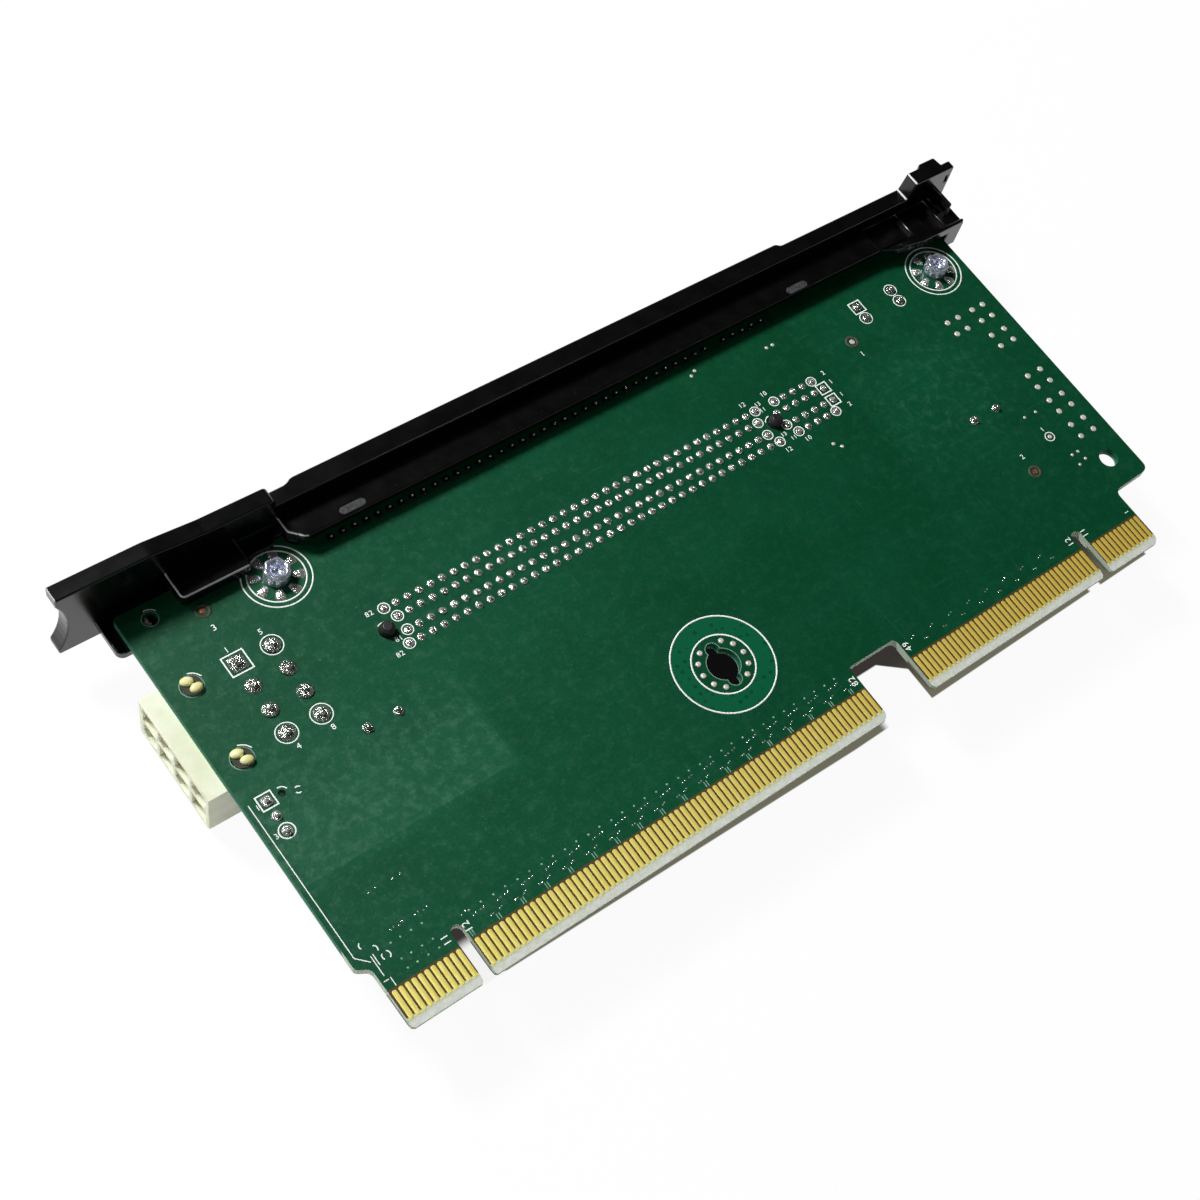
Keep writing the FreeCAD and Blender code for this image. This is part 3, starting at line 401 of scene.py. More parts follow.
# %% [markdown]
# Moulded plastics differ in how their tool was polished. The bracket came from a fine satin
# tool: near black, with a clean but soft gloss and dust in its pores. Rounded edges that face
# left carry painted highlights, pale lines where a lamp at the left would glint: along the hand
# end, and in short runs given below by where they lie along the bracket and how high; one more
# runs along the front of the pad. The sockets came from a rougher tool. The power inlet is
# natural nylon, ivory and a little waxy, so some light passes under its skin.

# %% Plastics, rubber and ceramic
def plastic(name, dark, light, low_rough, high_rough, scale, depth_mm, **steady):
    finish = Finish(name, **steady)
    spot = finish.ruler()[0]
    cloud = finish.cloud(spot, scale, 3.0, 0.6)
    pores = finish.cloud(spot, 5.0, 2.0, 0.6)
    return finish.wear(
        Base_Color=finish.mix(cloud.rise(0.25, 0.8), dark, light),
        Roughness=low_rough + cloud * (high_rough - low_rough),
        Normal=finish.bump(pores, depth_mm),
    )


moulding = Finish("satin_black_moulding", Specular_IOR_Level=0.6)
spot, bx, _, bz = moulding.ruler()
lean_x, lean_y, lean_z = moulding.facing()
bloom = moulding.cloud(spot, 0.3, 3.0, 0.6)
dust = moulding.cloud(spot, 2.6, 3.0, 0.7).rise(0.70, 0.76)
corner = lean_z.within(0.25, 0.97, 0.04)
facing_left, facing_front = (-1 * lean_x).rise(0.12, 0.35), (-1 * lean_y).rise(0.12, 0.35)
# painted highlights: pale lines on rounded edges that face left, where a lamp at the left would glint
painted_glint = corner * facing_left * bx.rise(0.0, 1.0) * (1 - bx.rise(60.0, 70.0)) * 0.25
for x0, x1, z0, z1, share in (
    (5.5, 8.0, 1.9, 2.7, 1.0), (23.4, 27.0, 2.7, 3.4, 1.0), (-10.6, -8.6, 8.5, 9.2, 0.7),
    (23.5, 25.5, 8.3, 9.3, 0.4), (146.4, 148.6, 5.7, 5.98, 1.0), (148.0, 150.4, 9.1, 9.5, 1.0),
):
    zone = bx.within(x0, x1, 0.02) * bz.within(z0, z1, 0.02) * share
    painted_glint = painted_glint.most(corner * facing_left * zone)
# painted highlight along the front edge of the pad
pad_front_glint = corner * facing_front * bx.within(6.0, 17.0, 0.3) * bz.within(1.9, 2.6, 0.05)
painted_glint = painted_glint.most(pad_front_glint * 0.8)
black = moulding.mix(bloom.rise(0.25, 0.8), paint(4, 4, 5), paint(10, 10, 11))
black = moulding.mix(dust * 0.3, black, paint(120, 122, 120))
# the painted highlights are mixed into the black here
black = moulding.mix(painted_glint, black, paint(206, 208, 211))
pores = moulding.cloud(spot, 5.0, 2.0, 0.6)
bracket_black = moulding.wear(
    Base_Color=black, Roughness=0.18 + bloom * 0.1 + painted_glint * 0.2, Normal=moulding.bump(pores, 0.003)
)
socket_black = plastic("black_socket_plastic", paint(20, 20, 21), paint(34, 34, 35), 0.4, 0.6, 0.6, 0.012)
ivory = plastic(
    "natural_nylon", paint(224, 228, 198), paint(238, 242, 218), 0.35, 0.5, 0.25, 0.008,
    Subsurface_Weight=0.12, Subsurface_Scale=0.0015,
)
peg_ivory = plastic("waxy_nylon", paint(226, 224, 150), paint(248, 246, 188), 0.22, 0.35, 0.8, 0.01)
header_white = plastic("off_white_plastic", paint(206, 202, 186), paint(226, 222, 208), 0.4, 0.55, 0.5, 0.01)
bung_black = plastic("black_rubber", paint(22, 22, 22), paint(34, 34, 33), 0.6, 0.8, 1.0, 0.02)
chip_black = plastic("black_epoxy", paint(30, 30, 31), paint(46, 46, 47), 0.45, 0.65, 1.5, 0.01)
fired_clay = plastic("fired_ceramic", paint(128, 98, 66), paint(164, 130, 92), 0.4, 0.6, 1.2, 0.01)
switch_black = plastic("black_switch_plastic", paint(24, 24, 25), paint(38, 38, 39), 0.35, 0.5, 0.7, 0.01)
slider_white = plastic(
    "white_slider_plastic", paint(214, 214, 208), paint(236, 236, 230), 0.4, 0.5, 0.8, 0.01
)
ink = plastic("white_print", paint(240, 245, 240), paint(254, 255, 254), 0.5, 0.7, 1.2, 0.01)
mould_grey = plastic("frosted_mould_mark", paint(22, 23, 24), paint(74, 75, 77), 0.6, 0.8, 2.4, 0.03)
hollow_shade = plastic("shaded_nylon", paint(24, 28, 16), paint(52, 52, 30), 0.5, 0.7, 1.2, 0.01)
print("plastics ready")

# %% [markdown]
# ## Carried-over solids
# Solids whose plain shape is already right only need their finish. A solid's mesh is never
# touched: its material slot is filled, and that is all.

# %% Dress the plain solids
def dress(node, material):
    mesh = solids[node].data
    mesh.materials.clear()
    mesh.materials.append(material)


for node, material in (
    ("circuit_board", green_mask), ("slot_1_contacts", gold), ("slot_2_contacts", gold),
    ("power_inlet_terminals", tin), ("cable_header_pins", tin), ("capacitor_bungs", bung_black),
    ("option_switch_sliders", slider_white), ("memory_chip_leads", tin), ("clock_buffer_chip", chip_black),
):
    dress(node, material)

# %% [markdown]
# Moulded edges are never sharp: the tool is cut with a small round cutter, and the round edge
# is what catches the light as a thin bright line. So each moulding is taken as a merged copy of
# its solid, its big faces are cut into triangles so that none can fold, and every outer edge that
# turns by more than a set angle is rounded. Inner corners stay sharp, as they do in a mould.

# %% Mouldings with softened edges
def put(name, data):
    """Puts a mesh, lamp, camera or text into the scene as an object."""
    made = bpy.data.objects.new(name, data)
    bpy.context.scene.collection.objects.link(made)
    return made


def mesh_of(work, name):
    """Keeps a bmesh as a mesh and lets the bmesh go."""
    mesh = bpy.data.meshes.new(name)
    work.to_mesh(mesh)
    work.free()
    return mesh


def show(name, mesh, material=None, replaced=()):
    """Puts a finished mesh into the scene as one piece of the card."""
    piece = put(name, mesh)
    if material:
        mesh.materials.clear()
        mesh.materials.append(material)
    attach(piece, "root")
    if replaced:
        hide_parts(*replaced)
    return piece


def eased(node, name, round_mm, material, angle=28.0, steps=2):
    """A copy of a solid, its split faces merged and its outer edges rounded."""
    work = bmesh.new()
    work.from_mesh(solids[node].data)
    bmesh.ops.remove_doubles(work, verts=work.verts, dist=1e-6)
    bmesh.ops.dissolve_limit(work, angle_limit=math.radians(0.6), verts=work.verts, edges=work.edges)
    bmesh.ops.triangulate(work, faces=[face for face in work.faces if len(face.verts) > 4])
    outer = [edge for edge in work.edges if edge.calc_face_angle_signed(0.0) > math.radians(angle)]
    rounded = bmesh.ops.bevel(
        work, geom=outer, offset=round_mm * MM, offset_type="OFFSET", segments=steps, profile=0.5,
        affect="EDGES", clamp_overlap=False, miter_outer="ARC",
    )["faces"]
    for face in work.faces:
        face.smooth = False
    for face in rounded:
        face.smooth = True
    mesh = mesh_of(work, name)
    print(name, "outer edges:", len(outer), "faces:", len(mesh.polygons))
    return show(name, mesh, material, [node])


eased("bracket", "bracket_moulding", 0.24, bracket_black, steps=3)
for number in (1, 2):
    eased("slot_%d_housing" % number, "slot_%d_moulding" % number, 0.08, socket_black)
eased("power_inlet_housing", "power_inlet_moulding", 0.12, ivory)
eased("cable_header_base", "cable_header_moulding", 0.1, header_white)
eased("option_switch_body", "option_switch_moulding", 0.12, switch_black)
eased("memory_chip_body", "memory_chip_moulding", 0.1, chip_black)

# %% [markdown]
# ## A bench for Geometry Nodes
# A card is made of few shapes and many copies. Geometry Nodes lay copies along a rule: the
# sizes are inputs of the tree, and the tree ends by making its copies real and giving them a
# material. The Pattern class writes such a tree line by line, as Finish does for materials, and
# `grow` runs it once and keeps the result as a plain mesh.

# %% Pattern and grow
class Pattern:
    """A Geometry Nodes tree with named sizes."""

    def __init__(self, name, **sizes):
        self.tree = bpy.data.node_groups.new(name, "GeometryNodeTree")
        face = self.tree.interface
        face.new_socket("Geometry", in_out="INPUT", socket_type="NodeSocketGeometry")
        self.ports = {}
        for label, kind in sizes.items():
            plain = label.replace("_", " ")
            made = face.new_socket(plain, in_out="INPUT", socket_type="NodeSocket" + kind)
            self.ports[label] = made.identifier
        face.new_socket("Geometry", in_out="OUTPUT", socket_type="NodeSocketGeometry")
        self.start = self.tree.nodes.new("NodeGroupInput")
        self.end = self.tree.nodes.new("NodeGroupOutput")

    def size(self, label):
        return self.start.outputs[label.replace("_", " ")]

    def node(self, kind, settings=None, inputs=None):
        return fill_node(self.tree, kind, settings, inputs)

    def sum(self, operation, first, second):
        return self.node("ShaderNodeMath", {"operation": operation}, {0: first, 1: second}).outputs[0]

    def along_x(self, length):
        return self.node("ShaderNodeCombineXYZ", None, {"X": length}).outputs[0]

    def join(self, *parts):
        made = self.tree.nodes.new("GeometryNodeJoinGeometry")
        for part in reversed(parts):
            self.tree.links.new(part, made.inputs[0])
        return made.outputs[0]

    def close(self, geometry):
        """Ends the tree: copies made real and given their material."""
        real = self.node("GeometryNodeRealizeInstances", None, {0: geometry}).outputs[0]
        named = self.node("GeometryNodeSetMaterial", None, {0: real, "Material": self.size("Material")})
        self.tree.links.new(named.outputs[0], self.end.inputs[0])


def grow(name, pattern, places, **values):
    """Runs a pattern on host points and returns the plain mesh that it makes."""
    spots = bpy.data.meshes.new(name + "_places")
    spots.from_pydata([tuple(place) for place in places], [], [])
    host = put(name + "_places", spots)
    growth = host.modifiers.new("growth", "NODES")
    growth.node_group = pattern.tree
    for label, value in values.items():
        growth[pattern.ports[label]] = value
    graph = bpy.context.evaluated_depsgraph_get()
    mesh = bpy.data.meshes.new_from_object(host.evaluated_get(graph), depsgraph=graph)
    mesh.name = name
    bpy.data.objects.remove(host)
    print(name, "faces:", len(mesh.polygons))
    return mesh


# %% [markdown]
# ## Gold fingers
# Both tongues carry the same row: eleven fingers, a wider step over the key slot, then the
# rest, all at one pitch. That rule is the tree below. A finger is a rounded rectangle,
# filled and raised by the thickness of its plating, and the tree sets it along two lines.

# %% The finger row
row = Pattern(
    "finger_row", Start="Vector", Pitch="Float", Before_key="Int", After_key="Int", Key_step="Float",
    Width="Float", Length="Float", Thickness="Float", Corner="Float", Material="Material",
)
outline = row.node(
    "GeometryNodeCurvePrimitiveQuadrilateral", None,
    {"Width": row.size("Width"), "Height": row.size("Length")},
).outputs[0]
rounded = row.node(
    "GeometryNodeFilletCurve", {"mode": "POLY"},
    {"Curve": outline, "Count": 4, "Radius": row.size("Corner")},
).outputs[0]
blank = row.node("GeometryNodeFillCurve", {"mode": "NGONS"}, {0: rounded}).outputs[0]
raised = row.node(
    "GeometryNodeExtrudeMesh", None, {"Mesh": blank, "Offset Scale": row.size("Thickness")}
).outputs[0]
closed = row.join(raised, row.node("GeometryNodeFlipFaces", None, {0: blank}).outputs[0])
finger = row.node("GeometryNodeMergeByDistance", None, {0: closed, "Distance": 1e-6}).outputs[0]
step = row.along_x(row.size("Pitch"))
first_run = row.node(
    "GeometryNodeMeshLine", None,
    {"Count": row.size("Before key"), "Start Location": row.size("Start"), "Offset": step},
).outputs[0]
run_length = row.sum("MULTIPLY", row.size("Pitch"), row.sum("SUBTRACT", row.size("Before key"), 1.0))
over_key = row.along_x(row.sum("ADD", run_length, row.size("Key step")))
beyond = row.node(
    "ShaderNodeVectorMath", {"operation": "ADD"}, {0: row.size("Start"), 1: over_key}
).outputs[0]
second_run = row.node(
    "GeometryNodeMeshLine", None,
    {"Count": row.size("After key"), "Start Location": beyond, "Offset": step},
).outputs[0]
laid = row.node(
    "GeometryNodeInstanceOnPoints", None, {"Points": row.join(first_run, second_run), "Instance": finger}
).outputs[0]
row.close(laid)
FINGER_L, FINGER_W, FINGER_T, FINGER_CORNER = 4.4, 0.7, 0.04, 0.3
BEFORE_KEY, KEY_STEP = 11, 3.0
for tongue, first_x, pitch, after_key in (("x16", 0.0, 1.0, 71), ("x8", 143.73, -1.0, 38)):
    for side, z0 in (("solder", 0.0), ("component", -BOARD_T - FINGER_T)):
        plated = grow(
            "%s_gold_fingers_%s_side" % (tongue, side), row, [(0, 0, 0)],
            Start=at(first_x, -FINGER_L / 2, z0), Pitch=pitch * MM, Before_key=BEFORE_KEY,
            After_key=after_key, Key_step=KEY_STEP * pitch * MM, Width=FINGER_W * MM,
            Length=FINGER_L * MM, Thickness=FINGER_T * MM, Corner=FINGER_CORNER * MM, Material=gold,
        )
        show(plated.name, plated, None, ["%s_fingers_%s_side" % (tongue, side)])

# %% [markdown]
# ## Solder
# A lead comes up through its hole, and the solder climbs it in a hollow cone and leaves the
# tip bare. Turned on a lathe, that is a profile of five or six rings. One template per size is
# enough, as a second tree sets copies on given places, each with its own small lean and turn,
# so that no two joints catch the light in the same way.

# %% A lathe, and a tree that sets copies on places
def lathe(name, profile, sides, square=0.0, lobes=6):
    """A closed turned shape from (radius, height[, lobe depth]) steps in mm, from the bottom up."""
    work = bmesh.new()
    rings = []
    for step in profile:
        radius, height = step[:2]
        lobe = step[2] if len(step) > 2 else 0.0
        ring = []
        for i in range(sides):
            angle = 2 * math.pi * (i + 0.5) / sides
            corner = 1 / max(abs(math.cos(angle)), abs(math.sin(angle))) - 1
            reach = (radius + lobe * math.cos(lobes * angle)) * (1 + square * corner)
            place = Vector((reach * math.cos(angle), reach * math.sin(angle), height))
            ring.append(work.verts.new(place * MM))
        rings.append(ring)
    work.faces.new(rings[0][::-1])
    work.faces.new(rings[-1])
    for lower, upper in zip(rings, rings[1:]):
        for i in range(sides):
            j = (i + 1) % sides
            work.faces.new((lower[i], lower[j], upper[j], upper[i]))
    bmesh.ops.recalc_face_normals(work, faces=work.faces)
    mesh = mesh_of(work, name)
    for face in mesh.polygons:
        face.use_smooth = len(face.vertices) == 4
    return mesh


copies = Pattern(
    "copies_at_places", Piece="Object", Turn="Float", Lean="Float", Seed="Int", Material="Material"
)
piece = copies.node("GeometryNodeObjectInfo", None, {"Object": copies.size("Piece")}).outputs["Geometry"]
far = copies.node(
    "ShaderNodeCombineXYZ", None,
    {"X": copies.size("Lean"), "Y": copies.size("Lean"), "Z": copies.size("Turn")},
).outputs[0]
near = copies.node("ShaderNodeVectorMath", {"operation": "SCALE"}, {0: far, "Scale": -1.0}).outputs[0]
pose = copies.node(
    "FunctionNodeRandomValue", {"data_type": "FLOAT_VECTOR"}, {0: near, 1: far, "Seed": copies.size("Seed")}
).outputs[0]
copies.close(copies.node(
    "GeometryNodeInstanceOnPoints", None,
    {"Points": copies.start.outputs[0], "Instance": piece, "Rotation": pose},
).outputs[0])


def copy_to(name, template, places, material, replaced=(), turn=3.14, lean=0.0, seed=1):
    """Sets a template on every place and shows the result as one piece."""
    model = bpy.data.objects.new(name + "_template", template)
    mesh = grow(name, copies, places, Piece=model, Turn=turn, Lean=lean, Seed=seed, Material=material)
    bpy.data.objects.remove(model)
    return show(name, mesh, None, replaced)


# %% [markdown]
# The two sockets have 164 leads each, in four rows that step by half a row from contact to
# contact. Their places follow the same key step as the fingers, counted from contact one at
# the right.

# %% Joints of the card sockets
ROWS = (3.30, 1.28, -1.29, -3.29)
SOCKET_MID, CARD_PITCH, CONTACT_ONE = 44.71, 20.32, 113.09


def contact_x(number):
    return CONTACT_ONE - (number - 1) - (KEY_STEP - 1 if number > BEFORE_KEY else 0.0)


def contact_places(mid):
    spots = []
    for number in range(1, 83):
        even = number % 2 == 0
        spots.append(at(contact_x(number), mid + ROWS[0 if even else 1]))
        spots.append(at(contact_x(number), mid + ROWS[3 if even else 2]))
    return spots


tail_joint = lathe(
    "tail_joint",
    [(0.66, 0.0), (0.63, 0.07), (0.42, 0.2), (0.34, 0.2), (0.25, 0.08), (0.21, 0.5), (0.15, 0.62),
     (0.08, 0.66)],
    12,
)
for number, mid in ((1, SOCKET_MID), (2, SOCKET_MID + CARD_PITCH)):
    label = "slot_%d_solder_joints" % number
    copy_to("socket_%d_tails" % number, tail_joint, contact_places(mid), solder, [label],
            lean=0.16, seed=number)

# %% [markdown]
# Bigger leads take bigger joints: the power inlet's are broad and lumpy, with the square lead's
# cut end standing in the middle. The first pin of each row has a square pad, so its joint
# starts square and grows round, which the lathe does by pulling the corners of a ring out.

# %% Joints of the power inlet, header, capacitors and switch
broad = [
    (1.3, 0.0), (1.24, 0.12), (1.0, 0.34), (0.8, 0.46), (0.66, 0.44), (0.56, 0.4), (0.5, 0.86), (0.4, 1.0),
    (0.2, 1.04),
]
small = [
    (0.8, 0.0), (0.76, 0.1), (0.56, 0.26), (0.44, 0.28), (0.36, 0.2), (0.31, 0.8), (0.24, 0.98), (0.1, 1.04),
]
SQUARE_PAD = 0.85
broad_pair = (lathe("power_joint", broad, 20), lathe("power_first_joint", broad, 20, square=SQUARE_PAD))
small_pair = (lathe("small_joint", small, 16), lathe("small_first_joint", small, 16, square=SQUARE_PAD))
power_spots = [(x0, POWER_MID_Y + (i - 1.5) * POWER_PITCH) for x0 in POWER_ROWS for i in range(4)]
power_rest = [p for p in power_spots if p != POWER_FIRST]
can_leads = [[(cx + side * 2.5, cy) for cx, cy in CANS] for side in (1, -1)]
for label, firsts, node, pair, metal_of, rest, first, lean, seed in (
    ("power_inlet", "joint", "power_inlet", broad_pair, broad_solder, power_rest, [POWER_FIRST], 0.10, 5),
    ("header", "joint", "cable_header", small_pair, solder, HEADER[1:], HEADER[:1], 0.2, 7),
    ("capacitor", "joints", "capacitor", small_pair, broad_solder, can_leads[0], can_leads[1], 0.2, 9),
    ("switch", "joint", "option_switch", small_pair, broad_solder, SWITCH[1:], SWITCH[:1], 0.15, 11),
):
    copy_to(label + "_joints", pair[0], [at(*p) for p in rest], metal_of, [node + "_solder_joints"],
            lean=lean, seed=seed)
    copy_to("%s_first_%s" % (label, firsts), pair[1], [at(*p) for p in first], metal_of, (),
            turn=0.0)

# %% [markdown]
# The power inlet holds itself in the board by two split pegs. Each peg's halves spring apart, so
# what shows in the hole is a pair of waxy lobes over a hollow, whose shade is painted as a dark
# disc under the lobes. On the bracket's shelf, two frosted pills mark where the mould pushed the
# part out.

# %% Split pegs and mould marks
LOBE_FLAT = 0.72
# painted shade: a flat dark disc stands for the shaded hollow inside each peg
shade_disc = lathe("peg_hollow", [(1.5, 0.0), (1.5, 0.03)], 28)
copy_to("peg_hollows", shade_disc, [at(px, py, 0.35) for px, py in PEGS], hollow_shade, turn=0.0)
lobe = lathe("peg_lobe", [(1.0, 0.0), (0.98, 0.25), (0.84, 0.46), (0.5, 0.6), (0.2, 0.64)], 20)
for vertex in lobe.vertices:
    vertex.co.y *= LOBE_FLAT
lobes_at = [at(px + dx, py + dy, 0.36) for px, py in PEGS for dx, dy in ((0.32, -0.72), (-0.34, 0.74))]
copy_to("peg_lobes", lobe, lobes_at, peg_ivory, turn=0.35, lean=0.12, seed=4)


def pill(name, length, width, height):
    """A flat shape with round ends, lying along X."""
    work = bmesh.new()
    rim = []
    for end in (1, -1):
        for i in range(9):
            turn = math.radians(-90 + 22.5 * i) + (0.0 if end > 0 else math.pi)
            reach = (length - width) / 2 * end
            place = Vector((reach + width / 2 * math.cos(turn), width / 2 * math.sin(turn), 0))
            rim.append(work.verts.new(place * MM))
    bottom = work.faces.new(rim)
    top = bmesh.ops.extrude_face_region(work, geom=[bottom])["geom"]
    raised = [part for part in top if isinstance(part, bmesh.types.BMVert)]
    bmesh.ops.translate(work, vec=(0, 0, height * MM), verts=raised)
    bmesh.ops.recalc_face_normals(work, faces=work.faces)
    return mesh_of(work, name)


SHELF_TOP = 3.2
marks_at = [at(34.4, 63.1, SHELF_TOP), at(119.9, 62.8, SHELF_TOP)]
copy_to("mould_marks", pill("mould_mark", 4.3, 1.25, 0.04), marks_at, mould_grey, turn=0.0)

# %% [markdown]
# Small tinned dots sit all over the board: test points and filled vias in groups by the right
# edge, ten round the keyed hole, and along the fingers tiny ones that repeat every four
# contacts, as the signal pairs do. They are shallow domes on one more template each.

# %% Tinned dots
def dome(name, radius, height, sides=10):
    return lathe(name, [(radius, 0.0), (radius * 0.86, height * 0.6), (radius * 0.5, height)], sides)


def dots(name, template, spots, material=flat_tin):
    """Sets a dome on (x, y) places of the board's face."""
    return copy_to(name, template, [at(*p) for p in spots], material, ())


test_points = [
    (95.1, 58.6), (96.2, 59.2), (109.7, 57.0), (111.0, 57.0), (107.6, 36.7), (108.6, 35.6), (140.3, 24.3),
    (142.8, 24.2), (142.6, 14.5), (144.0, 14.5), (142.5, 12.4), (144.2, 12.8),
]
power_vias = [(vx, vy) for vx in (141.3, 143.8, 147.2, 149.7) for vy in (45.8, 43.2)]
power_vias += [(vx, vy) for vx in (146.7, 149.7) for vy in (40.0, 37.5, 30.4, 27.8, 24.7, 22.2, 19.1, 16.5)]
dots("small_test_points", dome("small_dot", 0.34, 0.08), test_points[:6])
dots("fine_test_points", dome("fine_dot", 0.3, 0.08), test_points[6:])
dots("power_via_dots", dome("power_dot", 0.56, 0.12, 12), power_vias)

DOT_REACH = 3.85
keyhole_spots = []
for side in (0, 180):
    for lean_deg in (-58, -30, 0, 30, 58):
        turn = math.radians(side + lean_deg)
        dot_x, dot_y = KEYHOLE[0] + DOT_REACH * math.cos(turn), KEYHOLE[1] + DOT_REACH * math.sin(turn)
        keyhole_spots.append((dot_x, dot_y))
dots("keyhole_dots", dome("keyhole_dot", 0.5, 0.22, 12), keyhole_spots)

via_spots, pair_ends = [], []
for i in range(17):
    vx = 14.5 + 4.0 * i
    via_spots += [(vx, 2.75), (vx + 0.5, 2.85), (vx + 1.3, 2.9), (vx + 1.8, 3.0)]
    via_spots += [(vx + 2.0, 1.45), (vx + 2.4, 1.5), (vx + 3.5, 1.6), (vx + 3.9, 1.75)]
    pair_ends += [vx + 2.6, vx + 3.0]
for i in range(8):
    vx = 95.5 + 4.0 * i
    via_spots += [(vx, 2.7), (vx + 0.6, 2.9), (vx + 1.9, 1.6), (vx + 2.4, 1.5)]
for gx in (4.3, 8.1):
    via_spots += [(gx, 7.1), (gx + 0.55, 7.25), (gx + 1.3, 7.0), (gx + 1.95, 7.2)]
via_spots += [(4.7, 13.0), (5.9, 13.1), (8.5, 13.0), (9.7, 13.0), (13.2, 3.6), (13.9, 3.9)]
dots("fine_vias", dome("fine_via", 0.15, 0.04, 8), via_spots, solder)
faint = [(vx, vy) for vy in (5.6, 3.0, 1.5) for vx in (3.3, 4.8, 6.5, 8.2)]
faint += [(14.4 + 2.0 * i, 3.8 if i % 2 else 3.7) for i in range(34)]

# %% [markdown]
# ## Screws
# Each pan-head screw has a turned head with a rounded rim and a six-lobed socket. A lathe can
# do the lobes as well: a ring whose radius swings six times round the circle, taken down
# inside the head. Round each screw, eight tinned spokes press on its washer face.

# %% Screws and their spoke pads
screw_profile = [
    (0.3, -6.5), (1.2, -5.5), (1.2, 0.0), (1.92, 0.0), (1.98, 0.2), (1.98, 1.5), (1.9, 1.9, 0.07),
    (1.86, 2.16, 0.13), (1.76, 2.33, 0.15), (1.56, 2.4, 0.13), (1.36, 2.34, 0.08), (1.24, 2.2),
    (1.0, 2.16, 0.16), (0.93, 1.6, 0.16), (0.88, 1.2, 0.15), (0.3, 1.06),
]
screw = lathe("pan_head_screw", screw_profile, 48)
copy_to("pan_head_screws", screw, [at(*p) for p in SCREW_HEADS], zinc, ["bracket_screws"])

spokes = Pattern(
    "spokes_round_a_screw", Pad="Object", Spokes="Int", Reach="Float", First_angle="Float",
    Material="Material",
)
circle = spokes.node(
    "GeometryNodeMeshCircle", None, {"Vertices": spokes.size("Spokes"), "Radius": spokes.size("Reach")}
).outputs[0]
order = spokes.node("GeometryNodeInputIndex").outputs[0]
share = spokes.sum("DIVIDE", order, spokes.size("Spokes"))
angle = spokes.sum("ADD", spokes.sum("MULTIPLY", share, 2 * math.pi), spokes.size("First_angle"))
marked = spokes.node(
    "GeometryNodeStoreNamedAttribute", {"data_type": "FLOAT", "domain": "POINT"},
    {"Geometry": circle, "Name": "spoke_angle", "Value": angle},
).outputs[0]
first_turn = spokes.node("ShaderNodeCombineXYZ", None, {"Z": spokes.size("First_angle")}).outputs[0]
wheels = spokes.node(
    "GeometryNodeInstanceOnPoints", None,
    {"Points": spokes.start.outputs[0], "Instance": marked, "Rotation": first_turn},
).outputs[0]
points = spokes.node("GeometryNodeRealizeInstances", None, {0: wheels}).outputs[0]
stored = spokes.node(
    "GeometryNodeInputNamedAttribute", {"data_type": "FLOAT"}, {"Name": "spoke_angle"}
).outputs[0]
facing_out = spokes.node("ShaderNodeCombineXYZ", None, {"Z": stored}).outputs[0]
pad = spokes.node("GeometryNodeObjectInfo", None, {"Object": spokes.size("Pad")}).outputs["Geometry"]
spokes.close(spokes.node(
    "GeometryNodeInstanceOnPoints", None, {"Points": points, "Instance": pad, "Rotation": facing_out}
).outputs[0])


def spoke_pad():
    """A tinned pad, wider at its outer end, domed where the solder stood up."""
    mesh = lathe("spoke_pad", [(0.95, 0.0), (0.9, 0.08), (0.66, 0.22), (0.3, 0.3)], 16, square=0.8)
    for vertex in mesh.vertices:
        vertex.co.y *= 0.72 + 0.26 * vertex.co.x / MM
    return mesh


pad_model = bpy.data.objects.new("screw_spokes_template", spoke_pad())
spoke_mesh = grow(
    "screw_spokes", spokes, [at(*p) for p in SCREWS], Pad=pad_model, Spokes=8, Reach=3.05 * MM,
    First_angle=math.radians(22.5), Material=solder,
)
bpy.data.objects.remove(pad_model)
show("screw_spokes", spoke_mesh, None, ["screw_spoke_pads"])

# %% [markdown]
# ## White print
# Rings and boxes of white ink mark the first and last contacts, the screws and the keyed hole.
# Ink has a thickness that can be felt, so each line is a thin raised strip. Rings repeat, so a
# tree draws them: a circle swept by a flat profile. Boxes, ticks and arcs are strips laid
# along a few points.

# %% Printed rings
rings = Pattern("printed_rings", Radius="Float", Line="Float", Ink="Float", Facets="Int", Material="Material")
hoop = rings.node(
    "GeometryNodeCurvePrimitiveCircle", None,
    {"Resolution": rings.size("Facets"), "Radius": rings.size("Radius")},
).outputs[0]
section = rings.node(
    "GeometryNodeCurvePrimitiveQuadrilateral", None,
    {"Width": rings.size("Line"), "Height": rings.size("Ink")},
).outputs[0]
printed = rings.node("GeometryNodeCurveToMesh", None, {"Curve": hoop, "Profile Curve": section}).outputs[0]
rings.close(rings.node(
    "GeometryNodeInstanceOnPoints", None, {"Points": rings.start.outputs[0], "Instance": printed}
).outputs[0])

INK = 0.03


def print_rings(name, radius, line, places, facets=32, material=ink, height=INK):
    mesh = grow(name, rings, [at(px, py, height / 2) for px, py in places], Radius=radius * MM,
                Line=line * MM, Ink=height * MM, Facets=facets, Material=material)
    return show(name, mesh, None, ())


def tail(number, row_index):
    return (contact_x(number), SOCKET_MID + ROWS[row_index])


